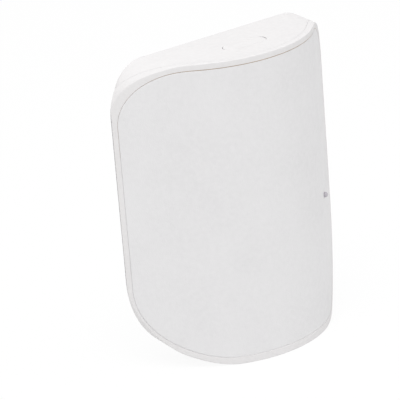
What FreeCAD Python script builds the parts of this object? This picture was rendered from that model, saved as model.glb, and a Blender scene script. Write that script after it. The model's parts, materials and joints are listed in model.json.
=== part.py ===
import FreeCAD, Part
import math
import os
import re

import Sketcher

# Wireless motion detector: a bent front bezel round an inset infrared window, on a flat-backed
# housing that holds the circuit board, two battery cells and a push button in its top face,
# hung on a wall bracket. Millimetres. X is the width, Y the depth with the front at -Y, Z is up.
# Every piece is drawn with the housing's back face at Y = 0 and its foot at Z = 0, and is then
# moved along Y so that the origin lies below the middle of the whole depth.

SIZES = {
    # Outer form, seen from above: a round nose between two straight flanks
    "half_width": 44.0,
    "height": 101.0,
    "nose_depth": 29.4,
    "side_depth": 1.7,
    "flank_angle": 44.5,
    # Outer form, seen from the front: corner radii at the bezel and at the back face, which is
    # narrower than the bezel by a taper on each side
    "top_corner": 19.4,
    "bottom_corner": 27.0,
    "side_top_corner": 16.0,
    "back_top_corner": 11.0,
    "back_bottom_corner": 30.0,
    "corner_blend": 13.0,
    "back_taper": 3.4,
    # Bezel and window
    "bezel_wall": 2.1,
    "rim": 1.9,
    "rim_foot": 2.4,
    "ledge": 1.6,
    "window_thickness": 1.0,
    "window_flush": 0.15,
    "window_bed": 0.1,
    "window_gap": 0.22,
    "seam_gap": 0.15,
    "tab_width": 9.0,
    "tab_length": 9.0,
    "tab_thickness": 1.5,
    "high_tab_place": 17.0,
    "low_tab_place": 12.0,
    "tab_gap": 0.2,
    "catch_height": 0.7,
    "catch_length": 1.6,
    # Lens zones moulded on the back of the window
    "zone_width": 9.0,
    "zone_height": 10.0,
    "zone_gap": 0.6,
    "zone_depth": 0.45,
    # Housing
    "back_wall": 2.0,
    "plate_wall": 2.2,
    "boss_length": 6.0,
    "boss_radius": 3.0,
    "boss_spread": 21.0,
    "boss_foot": 5.0,
    # Battery bay, door, cells and contacts
    "cell_radius": 5.25,
    "cell_length": 43.5,
    "nub_radius": 1.9,
    "nub_length": 1.0,
    "cell_pitch": 11.6,
    "cell_gap": 0.3,
    "bay_foot": 8.0,
    "bay_wall": 1.2,
    "contact_room": 3.0,
    "contact_thickness": 0.4,
    "contact_width": 6.0,
    "contact_chord": 9.0,
    "contact_gap": 0.1,
    "door_lap": 1.6,
    "door_thickness": 1.4,
    "door_gap": 0.2,
    "finger_radius": 7.0,
    "finger_depth": 0.8,
    "finger_height": 7.0,
    # Circuit board and its screws
    "board_thickness": 1.6,
    "board_half_width": 29.0,
    "board_corner": 2.0,
    "board_foot": 34.0,
    "board_head_room": 6.0,
    "screw_radius": 1.2,
    "screw_head_radius": 2.3,
    "screw_head_height": 1.4,
    "screw_length": 5.0,
    "screw_gap": 0.1,
    # Infrared sensor, its filter and its collar
    "sensor_height": 66.0,
    "can_radius": 4.1,
    "can_height": 3.8,
    "flange_radius": 4.6,
    "flange_height": 0.5,
    "filter_width": 3.4,
    "filter_height": 4.4,
    "filter_depth": 0.3,
    "boot_radius": 6.6,
    "boot_height": 5.6,
    "boot_gap": 0.1,
    # Light guide and light sensor
    "guide_radius": 1.1,
    "guide_place": 26.4,
    "guide_height": 43.4,
    "guide_gap": 0.12,
    "guide_tip_radius": 0.9,
    "guide_tip_rise": 0.7,
    "eye_size": 1.8,
    "eye_height": 1.0,
    # Radio can, controller, antenna and small parts on the board
    "shield_width": 15.0,
    "shield_height": 12.0,
    "shield_depth": 2.4,
    "shield_corner": 1.0,
    "shield_place": 15.0,
    "shield_level": 50.0,
    "chip_size": 8.0,
    "chip_depth": 1.2,
    "chip_place": 12.0,
    "chip_level": 52.0,
    "antenna_length": 22.0,
    "antenna_width": 1.2,
    "antenna_rise": 4.0,
    "antenna_thickness": 0.4,
    "antenna_feet": 5.0,
    "antenna_place": 15.0,
    "capacitor_width": 3.2,
    "capacitor_height": 1.8,
    "capacitor_depth": 1.4,
    "capacitor_pitch": 4.4,
    # Push button in the top plate and its switch
    "button_length": 16.0,
    "button_width": 6.2,
    "button_place": 15.9,
    "button_gap": 0.25,
    "button_crown": 0.5,
    "button_lip": 1.2,
    "button_lip_height": 1.0,
    "button_rest_gap": 0.1,
    "stem_radius": 1.8,
    "switch_width": 6.0,
    "switch_height": 4.4,
    "switch_drop": 8.0,
    "plunger_radius": 1.6,
    "plunger_height": 1.4,
    "plunger_depth": 1.2,
    "plunger_gap": 0.1,
    "plunger_room": 0.9,
    # Tamper switch and its pin
    "tamper_width": 6.0,
    "tamper_depth": 3.4,
    "tamper_drop": 8.0,
    "pin_radius": 1.5,
    "pin_gap": 0.25,
    "pin_depth": 1.0,
    "pin_room": 1.1,
    "pin_collar_radius": 2.4,
    "pin_collar_height": 0.6,
    "pin_rest_gap": 0.1,
    # Wall bracket
    "bracket_half_width": 29.0,
    "bracket_foot": 10.0,
    "bracket_head_room": 11.0,
    "bracket_corner": 7.0,
    "bracket_thickness": 2.4,
    "bracket_gap": 0.3,
    "hook_width": 7.0,
    "hook_place": 13.0,
    "hook_drop": 24.0,
    "hook_rise": 3.4,
    "hook_thickness": 1.6,
    "hook_gap": 0.15,
    "screw_hole_radius": 2.1,
    "screw_sink_radius": 4.0,
    "screw_hole_spread": 60.0,
}

# Places that several pieces share, worked out from the sizes above.
PLACES = {
    "nose_radius": "(half_width * tan(flank_angle * 1deg) - nose_depth + side_depth)"
                   " / (1 / cos(flank_angle * 1deg) - 1)",
    "nose_centre": "nose_radius - nose_depth",
    "rim_side": "rim * cos(flank_angle * 1deg)",
    "window_back": "window_flush + window_thickness",
    "rebate_depth": "window_back + window_bed",
    "ledge_middle": "(rebate_depth + bezel_wall) / 2",
    "bay_half": "cell_length / 2 + nub_length / 2 + contact_room",
    "bay_height": "cell_radius * 2 + cell_pitch + cell_gap * 2",
    "bay_depth": "back_wall + cell_radius * 2 + cell_gap * 2",
    "lower_cell": "bay_foot + cell_gap + cell_radius",
    "cell_depth": "back_wall + cell_gap + cell_radius",
    "board_back": "back_wall + boss_length",
    "board_front": "board_back + board_thickness",
    "board_head": "height - board_head_room",
    "boss_low": "board_foot + boss_foot",
    "boss_high": "board_head - boss_foot",
    "antenna_level": "(sensor_height + boot_radius + board_head) / 2",
    "switch_head": "height - plate_wall - switch_drop - plunger_height",
    "tamper_back": "board_back - tamper_depth",
    "tamper_level": "board_head - tamper_drop",
    "bracket_head": "height - bracket_head_room",
    "hook_level": "height - hook_drop",
    "bracket_reach": "bracket_gap + bracket_thickness",
    "screw_middle": "(bracket_foot + bracket_head) / 2",
    "middle_shift": "(nose_depth - bracket_reach) / 2",
}

SHEET = "Sizes"
LENS_COLUMNS = 5
LENS_ROWS = 4
BEYOND = 2.0  # how far a cutter reaches past the faces that it cuts
PLAN_REACH = 14.0  # how far behind the back face the plan of the front runs on

SIDEWAYS = FreeCAD.Vector(1, 0, 0)
BACKWARD = FreeCAD.Vector(0, 1, 0)
FORWARD = FreeCAD.Vector(0, -1, 0)
UPWARD = FreeCAD.Vector(0, 0, 1)
LAY_FORWARD = FreeCAD.Rotation(SIDEWAYS, 90)
LAY_SIDEWAYS = FreeCAD.Rotation(BACKWARD, 90)
SIDES = (("left", -1), ("right", 1))


def full(text):
    """Writes out shared places and points every size at its cell."""

    def swap(match):
        word = match.group(0)
        if word in PLACES:
            return "(" + full(PLACES[word]) + ")"
        return SHEET + "." + word if word in SIZES else word

    return re.sub(r"[a-z_]+", swap, text)


def bind(item, **texts):
    """Binds properties to expressions; place_x, place_y and place_z set the position."""
    for name, text in texts.items():
        if name.startswith("place_"):
            name = "Placement.Base." + name[-1]
        item.setExpression(name, full(text))
    return item


def size_sheet(doc):
    """The driving dimensions, one aliased cell each."""
    sheet = doc.addObject("Spreadsheet::Sheet", SHEET)
    for row, (name, value) in enumerate(SIZES.items(), start=1):
        sheet.set(f"A{row}", name)
        sheet.set(f"B{row}", str(value))
        sheet.setAlias(f"B{row}", name)
    doc.recompute()


def box(doc, name, x, y, z, length, depth, height):
    """A block whose lowest corner is at x, y, z."""
    block = doc.addObject("Part::Box", name)
    return bind(block, Length=length, Width=depth, Height=height, place_x=x, place_y=y, place_z=z)


def mid_box(doc, name, x, front, z, length, depth, height):
    """A block centred on x and z whose front face lies at Y = -front."""
    return box(doc, name, f"{x} - ({length}) / 2", f"-({front})", f"{z} - ({height}) / 2",
               length, depth, height)


def rod(doc, name, x, y, z, radius, length, turn=LAY_FORWARD):
    """A cylinder from x, y, z towards the front, or along the turn given."""
    cylinder = doc.addObject("Part::Cylinder", name)
    cylinder.Placement.Rotation = turn
    return bind(cylinder, Radius=radius, Height=length, place_x=x, place_y=y, place_z=z)


def upright(doc, name, x, y, z, radius, length):
    """A cylinder standing on x, y, z."""
    return rod(doc, name, x, y, z, radius, length, FreeCAD.Rotation())


def rounded_plate(doc, name, back, foot, head, half_width, thickness, corner, x="0"):
    """A plate with round corners, centred on x, its back face at Y = -back."""
    core = doc.addObject("Part::Plane", name + "_core")
    core.Placement.Rotation = LAY_FORWARD
    bind(core, Length=f"2 * ({half_width} - {corner})", Width=f"{head} - ({foot}) - 2 * {corner}",
         place_x=f"{x} - {half_width} + {corner}", place_y=f"-({back})", place_z=f"{foot} + {corner}")
    outline = doc.addObject("Part::Offset2D", name + "_outline")
    outline.Source = core
    outline.Join = "Arc"
    bind(outline, Value=corner)
    return extrude(doc, name, outline, FORWARD, thickness)


def extrude(doc, name, base, way, length):
    """A solid from a closed outline."""
    solid = doc.addObject("Part::Extrusion", name)
    solid.Base = base
    solid.DirMode = "Custom"
    solid.Dir = way
    solid.Solid = True
    return bind(solid, LengthFwd=length)


def fuse(doc, name, *pieces):
    """All pieces as one solid."""
    result = doc.addObject("Part::MultiFuse", name)
    result.Shapes = list(pieces)
    result.Refine = True
    return result


def cut(doc, name, base, *tools):
    """The base less every tool."""
    result = doc.addObject("Part::Cut", name)
    result.Base = base
    result.Tool = tools[0] if len(tools) == 1 else fuse(doc, name + "_cutters", *tools)
    return result


def common(doc, name, first, second):
    """What both pieces share."""
    result = doc.addObject("Part::MultiCommon", name)
    result.Shapes = [first, second]
    return result


def group(doc, name, pieces):
    """Separate solids under one name."""
    result = doc.addObject("Part::Compound", name)
    result.Links = list(pieces)
    return result


def constrain(sketch, fixed, driving):
    """Adds a sketch's plain constraints, then those that follow an expression."""
    for rule in fixed:
        sketch.addConstraint(Sketcher.Constraint(*rule))
    for rule, text in driving:
        place = sketch.addConstraint(Sketcher.Constraint(*rule))
        if text:
            sketch.setExpression(f"Constraints[{place}]", full(text))


def plan_sketch(doc):
    """The front seen from above: an arc about the middle line and two tangent flanks."""
    turn = math.radians(SIZES["flank_angle"])
    radius = ((SIZES["half_width"] * math.tan(turn) - SIZES["nose_depth"] + SIZES["side_depth"])
              / (1 / math.cos(turn) - 1))
    centre = radius - SIZES["nose_depth"]
    touch = FreeCAD.Vector(radius * math.sin(turn), centre - radius * math.cos(turn), 0)
    end = FreeCAD.Vector(touch.x + (PLAN_REACH - touch.y) / math.tan(turn), PLAN_REACH, 0)
    left_touch = FreeCAD.Vector(-touch.x, touch.y, 0)
    left_end = FreeCAD.Vector(-end.x, end.y, 0)
    circle = Part.Circle(FreeCAD.Vector(0, centre, 0), UPWARD, radius)
    down = math.radians(270)
    sketch = doc.addObject("Sketcher::SketchObject", "plan")
    sketch.Placement.Base.z = -BEYOND
    sketch.addGeometry([
        Part.LineSegment(left_end, end),
        Part.LineSegment(end, touch),
        Part.ArcOfCircle(circle, down - turn, down + turn),
        Part.LineSegment(left_touch, left_end),
    ], False)
    back, right, nose, left = range(4)
    fixed = (
        ("Coincident", back, 2, right, 1),
        ("Tangent", right, 2, nose, 2),
        ("Tangent", nose, 1, left, 1),
        ("Coincident", left, 2, back, 1),
        ("Symmetric", back, 1, back, 2, -2),
        ("PointOnObject", nose, 3, -2),
    )
    driving = (
        (("DistanceY", -1, 1, back, 2, PLAN_REACH), None),
        (("Radius", nose, radius), "nose_radius"),
        (("DistanceY", -1, 1, nose, 3, centre), "nose_centre"),
        (("Angle", right, turn - math.pi), "(flank_angle - 180) * 1deg"),
    )
    constrain(sketch, fixed, driving)
    return sketch


def outline_sketch(doc, name, depth, corners, inset=("0", "0", "0")):
    """The outline seen from the front at Y = -depth, moved in at its sides, head and foot."""
    aside, under, above = inset
    top, bottom = corners
    half, height = SIZES["half_width"], SIZES["height"]
    high, low = SIZES[top], SIZES[bottom]
    point = FreeCAD.Vector
    sketch = doc.addObject("Sketcher::SketchObject", name)
    sketch.Placement.Rotation = LAY_FORWARD
    bind(sketch, place_y=f"-({depth})")
    sketch.addGeometry([
        Part.LineSegment(point(low - half, 0), point(half - low, 0)),
        Part.LineSegment(point(half, low), point(half, height - high)),
        Part.LineSegment(point(half - high, height), point(high - half, height)),
        Part.LineSegment(point(-half, height - high), point(-half, low)),
    ], False)
    for x, z, radius, start in (
        (half - low, low, low, 270),
        (half - high, height - high, high, 0),
        (high - half, height - high, high, 90),
        (low - half, low, low, 180),
    ):
        circle = Part.Circle(point(x, z), UPWARD, radius)
        arc = Part.ArcOfCircle(circle, math.radians(start), math.radians(start + 90))
        sketch.addGeometry(arc, False)
    foot, right, head, left, low_right, high_right, high_left, low_left = range(8)
    ring = (foot, low_right, right, high_right, head, high_left, left, low_left, foot)
    fixed = [("Tangent", before, 2, after, 1) for before, after in zip(ring, ring[1:])]
    fixed += [
        ("Symmetric", foot, 1, foot, 2, -2),
        ("Horizontal", head),
        ("Vertical", right),
        ("Vertical", left),
        ("Equal", low_right, low_left),
        ("Equal", high_right, high_left),
    ]
    driving = (
        (("Radius", low_right, low), f"{bottom} - {above}"),
        (("Radius", high_right, high), f"{top} - {under}"),
        (("DistanceX", left, 1, right, 1, 2 * half), f"2 * (half_width - {aside})"),
        (("DistanceY", -1, 1, foot, 1, 0), above),
        (("DistanceY", foot, 1, head, 1, height), f"height - {under} - {above}"),
    )
    constrain(sketch, fixed, driving)
    return sketch


class Forms:
    """The shapes that the bezel, the window and the housing are cut from."""

    def __init__(self, doc):
        """Draws the plan, the outlines and the block inside them."""
        front = ("top_corner", "bottom_corner")
        self.doc = doc
        self.plan = plan_sketch(doc)
        self.front = outline_sketch(doc, "front_outline", "0", front)
        self.rim = outline_sketch(doc, "rim_outline", "0", front, ("rim_side", "rim", "rim_foot"))
        back = outline_sketch(doc, "back_outline", "0", ("back_top_corner", "back_bottom_corner"),
                              ("back_taper", "0", "0"))
        side = outline_sketch(doc, "side_outline", "side_depth",
                              ("side_top_corner", "back_bottom_corner"))
        blend = outline_sketch(doc, "blend_outline", "corner_blend", front)
        corners = doc.addObject("Part::Loft", "corner_loft")
        corners.Sections = [back, side, blend]
        corners.Solid = True
        corners.Ruled = True
        ahead = extrude(doc, "outline_ahead", blend, FORWARD, "nose_depth")
        self.block = fuse(doc, "outline_block", corners, ahead)

    def inward(self, name, base, inset):
        """An outline moved inwards all round."""
        smaller = self.doc.addObject("Part::Offset2D", name)
        smaller.Source = base
        smaller.Join = "Intersection"
        return bind(smaller, Value=f"-({inset})")

    def dome(self, name, inset=None):
        """Everything behind the curved front, the front moved inwards by the inset."""
        base = self.inward(name + "_plan", self.plan, inset) if inset else self.plan
        return extrude(self.doc, name, base, UPWARD, f"height + {2 * BEYOND}")

    def opening(self, name, outline, inset=None, start="0"):
        """An outline moved inwards and run from Y = -start forwards past the nose."""
        base = self.inward(name + "_outline", outline, inset) if inset else outline
        solid = extrude(self.doc, name, base, FORWARD, f"nose_depth + {BEYOND}")
        return bind(solid, place_y=f"-({start})")

    def sheet(self, name, outer, inner):
        """A bent sheet between two depths behind the front face."""
        outside = self.dome(name + "_outside", outer)
        return cut(self.doc, name, outside, self.dome(name + "_inside", inner))


def tab_ends():
    """Each snap tab: its name, its middle line, its lowest Z and its catch's lowest Z."""
    inside = "(plate_wall + tab_gap)"
    for side, way in SIDES:
        yield (f"{side}_low", f"{way} * low_tab_place", "low_tab_place", inside,
               f"{inside} - catch_height")
        yield (f"{side}_high", f"{way} * high_tab_place", "high_tab_place",
               f"height - {inside} - tab_thickness", f"height - {inside}")


def tab_root(place):
    """How far forward the ledge's middle lies at a tab's outer edge."""
    return f"((nose_radius - ledge_middle) ^ 2 - ({place} + tab_width / 2) ^ 2) ^ 0.5 - nose_centre"


def snap_tabs(doc, forms):
    """Tabs inside the top and bottom plates, each with a catch near its end."""
    pieces = []
    for name, x, place, foot, catch in tab_ends():
        root = tab_root(place)
        pieces.append(box(doc, f"tab_{name}", f"{x} - tab_width / 2", "-nose_depth", foot,
                          "tab_width", f"nose_depth - ({root}) + tab_length", "tab_thickness"))
        pieces.append(box(doc, f"catch_{name}", f"{x} - tab_width / 2",
                          f"tab_length - catch_length - ({root})", catch,
                          "tab_width", "catch_length", "catch_height + tab_gap / 2"))
    whole = fuse(doc, "snap_tabs_long", *pieces)
    return common(doc, "snap_tabs", whole, forms.dome("tab_front", "ledge_middle"))


def catch_pockets(doc):
    """Pockets in the top and bottom plates for the tabs' catches."""
    pieces = []
    for name, x, place, foot, catch in tab_ends():
        pieces.append(box(doc, f"pocket_{name}", f"{x} - tab_width / 2 - tab_gap",
                          f"tab_length - catch_length - tab_gap - ({tab_root(place)})",
                          f"{catch} - tab_gap", "tab_width + 2 * tab_gap",
                          "catch_length + 2 * tab_gap", "catch_height + 3 * tab_gap"))
    return pieces


def front_bezel(doc, forms):
    """The bent front frame: a rim, a ledge that the window rests on and four snap tabs."""
    sheet = forms.sheet("bezel_sheet", None, "bezel_wall")
    blank = common(doc, "bezel_blank", sheet, forms.block)
    rebate = cut(doc, "bezel_rebate", forms.opening("rebate_opening", forms.rim),
                 forms.dome("rebate_floor", "rebate_depth"))
    through = forms.opening("bezel_through", forms.rim, "ledge")
    frame = cut(doc, "bezel_frame", blank, rebate, through)
    return fuse(doc, "front_bezel", frame, snap_tabs(doc, forms))


def zone_blocks(doc):
    """Blocks that cut the lens zones out of a sheet, in rows about the sensor's height."""
    pieces = []
    for column in range(LENS_COLUMNS):
        for row in range(LENS_ROWS):
            across = column - (LENS_COLUMNS - 1) / 2
            up = row - (LENS_ROWS - 1) / 2
            pieces.append(mid_box(doc, f"zone_{column}_{row}", f"{across} * (zone_width + zone_gap)",
                                  "nose_depth", f"sensor_height + {up} * (zone_height + zone_gap)",
                                  "zone_width", "nose_depth", "zone_height"))
    return group(doc, "zone_blocks", pieces)


def front_window(doc, forms):
    """The curved infrared window, with its lens zones on the back and the light guide's hole."""
    sheet = forms.sheet("window_sheet", "window_flush", "window_back")
    pane = common(doc, "window_pane", sheet, forms.opening("window_edge", forms.rim, "window_gap"))
    layer = forms.sheet("zone_sheet", "window_back", "window_back + zone_depth")
    zones = common(doc, "window_zones", layer, zone_blocks(doc))
    hole = rod(doc, "window_hole", "guide_place", "0", "guide_height", "guide_radius + guide_gap",
               "nose_depth")
    return cut(doc, "front_window", fuse(doc, "window_whole", pane, zones), hole)


def boss_places():
    """Where the board's bosses stand: a name and expressions for X and Z."""
    for side, way in SIDES:
        for level in ("low", "high"):
            yield f"{side}_{level}", f"{way} * boss_spread", f"boss_{level}"


def screw_places():
    """The two bosses, at opposite corners, that also take a screw."""
    return [place for place in boss_places() if place[0] in ("left_high", "right_low")]


def pill(doc, name, grow, foot, height):
    """A stadium about the push button's middle line, grown all round."""
    radius = f"(button_width / 2 + {grow})"
    reach = "(button_length - button_width) / 2"
    middle = box(doc, name + "_middle", f"-({reach})", f"-button_place - {radius}", foot,
                 f"2 * {reach}", f"2 * {radius}", height)
    ends = [upright(doc, f"{name}_{side}", f"{way} * {reach}", "-button_place", foot, radius, height)
            for side, way in SIDES]
    return fuse(doc, name, middle, *ends)


def housing_rooms(doc):
    """Everything that is cut out of the housing's walls."""
    room = mid_box(doc, "bay_room", "0", "bay_depth", "bay_foot + bay_height / 2", "2 * bay_half",
                   f"bay_depth + {BEYOND}", "bay_height")
    lap = mid_box(doc, "door_room", "0", "door_thickness", "bay_foot + bay_height / 2",
                  "2 * (bay_half + door_lap)", f"door_thickness + {BEYOND}", "bay_height + 2 * door_lap")
    pin_hole = rod(doc, "pin_hole", "0", f"{BEYOND}", "tamper_level", "pin_radius + pin_gap",
                   f"back_wall + {2 * BEYOND}")
    button_hole = pill(doc, "button_hole", "button_gap", "height - 2 * plate_wall", "3 * plate_wall")
    pilots = [rod(doc, f"pilot_{name}", x, "-back_wall", z, "screw_radius + screw_gap",
                  f"boss_length + {BEYOND}") for name, x, z in screw_places()]
    slots = [box(doc, f"hook_slot_{side}", f"{way} * hook_place - hook_width / 2 - hook_gap",
                 f"-back_wall - {BEYOND}", "hook_level - hook_rise - hook_gap",
                 "hook_width + 2 * hook_gap", f"back_wall + {2 * BEYOND}",
                 "hook_rise + hook_thickness + 2 * hook_gap")
             for side, way in SIDES]
    return [room, lap, pin_hole, button_hole, *pilots, *slots, *catch_pockets(doc)]


def rear_housing(doc, forms):
    """The flat-backed housing: top and bottom plates, battery bay, board bosses and openings."""
    behind = forms.dome("housing_front", "bezel_wall + seam_gap")
    blank = common(doc, "housing_blank", behind, forms.block)
    cavity = forms.opening("housing_cavity", forms.front, "plate_wall", "back_wall")
    hollow = cut(doc, "housing_hollow", blank, cavity)
    bay = box(doc, "bay_block", "-bay_half - bay_wall", "-bay_depth - bay_wall", "bay_foot - bay_wall",
              "2 * (bay_half + bay_wall)", "bay_depth + bay_wall - back_wall / 2",
              "bay_height + 2 * bay_wall")
    bosses = [rod(doc, f"boss_{name}", x, "-back_wall / 2", z, "boss_radius",
                  "boss_length + back_wall / 2") for name, x, z in boss_places()]
    whole = fuse(doc, "housing_whole", hollow, bay, *bosses)
    return cut(doc, "rear_housing", whole, *housing_rooms(doc))


def battery_door(doc):
    """The lid of the battery bay, stepped to sit in its lap, with a finger hollow."""
    lid = mid_box(doc, "door_lid", "0", "door_thickness", "bay_foot + bay_height / 2",
                  "2 * (bay_half + door_lap - door_gap)", "door_thickness",
                  "bay_height + 2 * (door_lap - door_gap)")
    step = mid_box(doc, "door_step", "0", "back_wall", "bay_foot + bay_height / 2",
                   "2 * (bay_half - door_gap)", "back_wall - door_thickness / 2",
                   "bay_height - 2 * door_gap")
    hollow = upright(doc, "door_hollow", "0", "finger_radius - finger_depth",
                     "bay_foot + bay_height - finger_height", "finger_radius", "bay_height")
    return cut(doc, "battery_door", fuse(doc, "door_whole", lid, step), hollow)


def battery_cell(doc, name, row, way):
    """One dry cell along X: a can and a nub at its plus end."""
    z = f"lower_cell + {row} * cell_pitch"
    can = rod(doc, name + "_can", "-cell_length / 2", "-cell_depth", z, "cell_radius",
              "cell_length", LAY_SIDEWAYS)
    start = "cell_length / 2" if way > 0 else "-cell_length / 2 - nub_length"
    nub = rod(doc, name + "_nub", start, "-cell_depth", z, "nub_radius", "nub_length", LAY_SIDEWAYS)
    return fuse(doc, name, can, nub)


def leaf(doc, name, row, way, reach):
    """A bowed leaf contact between the bay's end wall and a cell's end."""
    z = f"lower_cell + {row} * cell_pitch"
    radius = f"((contact_chord ^ 2 / 4 + ({reach}) ^ 2) / (2 * ({reach})))"
    centre = f"{way} * (bay_half - ({reach}) + {radius})"
    start = "-cell_depth + contact_width / 2"
    outer = rod(doc, name + "_outer", centre, start, z, radius, "contact_width")
    inner = rod(doc, name + "_inner", centre, f"{start} + {BEYOND}", z,
                f"{radius} - contact_thickness", f"contact_width + {2 * BEYOND}")
    near = "bay_half - 2 * contact_room" if way > 0 else "-bay_half"
    window = box(doc, name + "_window", near, "-bay_depth", f"{z} - cell_pitch / 2",
                 "2 * contact_room", "bay_depth", "cell_pitch")
    return common(doc, name, cut(doc, name + "_ring", outer, inner), window)


def contacts(doc):
    """The leaf contacts at the cells' minus ends and at their plus ends."""
    minus = "bay_half - cell_length / 2 - contact_gap"
    plus = "bay_half - cell_length / 2 - nub_length - contact_gap"
    rows = ((0, 1), (1, -1))
    return {
        "minus_contacts": group(doc, "minus_contacts", [
            leaf(doc, f"minus_leaf_{row}", row, -way, minus) for row, way in rows]),
        "plus_contacts": group(doc, "plus_contacts", [
            leaf(doc, f"plus_leaf_{row}", row, way, plus) for row, way in rows]),
    }


def circuit_board(doc):
    """The main board, on the four bosses, with holes for its two screws."""
    blank = rounded_plate(doc, "board_blank", "board_back", "board_foot", "board_head",
                          "board_half_width", "board_thickness", "board_corner")
    holes = [rod(doc, f"board_hole_{name}", x, f"-board_back + {BEYOND}", z,
                 "screw_radius + screw_gap", f"board_thickness + {2 * BEYOND}")
             for name, x, z in screw_places()]
    return cut(doc, "circuit_board", blank, *holes)


def board_screws(doc):
    """Pan-head screws through the board into two of the bosses."""
    screws = []
    for name, x, z in screw_places():
        shank = rod(doc, f"shank_{name}", x, "screw_length - board_front", z, "screw_radius",
                    "screw_length + screw_head_height / 2")
        head = rod(doc, f"head_{name}", x, "-board_front", z, "screw_head_radius", "screw_head_height")
        screws.append(fuse(doc, f"board_screw_{name}", shank, head))
    return group(doc, "board_screws", screws)


def pyro_sensor(doc):
    """The infrared sensor: a metal can on a flange, with a pocket for its filter."""
    flange = rod(doc, "can_flange", "0", "-board_front", "sensor_height", "flange_radius",
                 "flange_height")
    can = rod(doc, "can_body", "0", "-board_front", "sensor_height", "can_radius", "can_height")
    pocket = mid_box(doc, "filter_pocket", "0", f"board_front + can_height + {BEYOND}", "sensor_height",
                     "filter_width", f"filter_depth + {BEYOND}", "filter_height")
    return cut(doc, "pyro_sensor", fuse(doc, "can_whole", flange, can), pocket)


def pyro_filter(doc):
    """The dark filter in the can's pocket."""
    return group(doc, "pyro_filter", [
        mid_box(doc, "filter_glass", "0", "board_front + can_height", "sensor_height",
                "filter_width", "filter_depth", "filter_height")])


def sensor_boot(doc):
    """The rubber collar that keeps draughts off the can."""
    outer = rod(doc, "boot_outer", "0", "-board_front", "sensor_height", "boot_radius", "boot_height")
    inner = rod(doc, "boot_inner", "0", f"-board_front + {BEYOND}", "sensor_height",
                "flange_radius + boot_gap", f"boot_height + {2 * BEYOND}")
    return cut(doc, "sensor_boot", outer, inner)


def light_guide(doc, forms):
    """The clear rod from the light sensor to the window's hole, with a tip that stands proud."""
    steps = []
    for name, radius, end in (("body", "guide_radius", "window_flush"),
                              ("tip", "guide_tip_radius", "-guide_tip_rise")):
        long_rod = rod(doc, f"guide_{name}_rod", "guide_place", "-board_front - eye_height - guide_gap",
                       "guide_height", radius, "nose_depth")
        steps.append(common(doc, f"guide_{name}", long_rod, forms.dome(f"guide_{name}_end", end)))
    return fuse(doc, "light_guide", *steps)


def light_sensor(doc):
    """The small light sensor on the board, behind the guide."""
    return group(doc, "light_sensor", [
        mid_box(doc, "eye_body", "guide_place", "board_front + eye_height", "guide_height",
                "eye_size", "eye_height", "eye_size")])


def radio_shield(doc):
    """The radio's screening can."""
    return rounded_plate(doc, "radio_shield", "board_front", "shield_level - shield_height / 2",
                         "shield_level + shield_height / 2", "shield_width / 2", "shield_depth",
                         "shield_corner", "-shield_place")


def control_chip(doc):
    """The controller."""
    return group(doc, "control_chip", [
        mid_box(doc, "chip_body", "chip_place", "board_front + chip_depth", "chip_level",
                "chip_size", "chip_depth", "chip_size")])


def antenna_strip(doc):
    """A bent strip antenna: a long bar held off the board by two feet."""
    left = "antenna_place - antenna_length / 2"
    foot = "antenna_level - antenna_width / 2"
    bar = box(doc, "antenna_bar", left, "-board_front - antenna_rise", foot, "antenna_length",
              "antenna_thickness", "antenna_width")
    feet = [box(doc, f"antenna_foot_{index}", f"{left} + {index} * antenna_feet",
                "-board_front - antenna_rise", foot, "antenna_thickness", "antenna_rise",
                "antenna_width") for index in range(2)]
    return fuse(doc, "antenna_strip", bar, *feet)


def board_capacitors(doc):
    """A row of three capacitors below the sensor."""
    return group(doc, "board_capacitors", [
        mid_box(doc, f"capacitor_{index}", f"({index} - 1) * capacitor_pitch",
                "board_front + capacitor_depth", "boss_low", "capacitor_width", "capacitor_depth",
                "capacitor_height") for index in range(3)])


def tact_switch(doc):
    """The side switch under the push button, open at the top for its plunger."""
    body = box(doc, "switch_body", "-switch_width / 2", "-button_place - switch_width / 2",
               "switch_head - switch_height", "switch_width",
               "button_place + switch_width / 2 - board_front", "switch_height")
    bore = upright(doc, "switch_bore", "0", "-button_place",
                   "switch_head - plunger_depth - plunger_room", "plunger_radius + plunger_gap",
                   "switch_height")
    return cut(doc, "tact_switch", body, bore)


def switch_plunger(doc):
    """The switch's plunger, which carries the button's stem."""
    return group(doc, "switch_plunger", [
        upright(doc, "plunger_rod", "0", "-button_place", "switch_head - plunger_depth",
                "plunger_radius", "plunger_depth + plunger_height")])


def top_button(doc):
    """The pill-shaped button: a crowned cap, a lip below the top plate and a stem."""
    lip_foot = "height - plate_wall - button_lip_height - button_rest_gap"
    radius = "(((button_length / 2) ^ 2 + button_crown ^ 2) / (2 * button_crown))"
    cap = common(doc, "button_cap",
                 pill(doc, "button_cap_blank", "0", lip_foot, "height"),
                 rod(doc, "button_crown", "0", "0", f"height - {radius}", radius, "nose_depth"))
    lip = pill(doc, "button_lip", "button_lip", lip_foot, "button_lip_height")
    stem = upright(doc, "button_stem", "0", "-button_place", "switch_head + plunger_height",
                   "stem_radius", "switch_drop")
    return fuse(doc, "top_button", cap, lip, stem)


def tamper_switch(doc):
    """The tamper switch on the back of the board, open at the back for its pin."""
    body = mid_box(doc, "tamper_body", "0", "board_back", "tamper_level", "tamper_width",
                   "tamper_depth", "tamper_width")
    bore = rod(doc, "tamper_bore", "0", f"-tamper_back + {BEYOND}", "tamper_level",
               "pin_radius + plunger_gap", f"{BEYOND} + pin_depth + pin_room")
    return cut(doc, "tamper_switch", body, bore)


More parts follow.
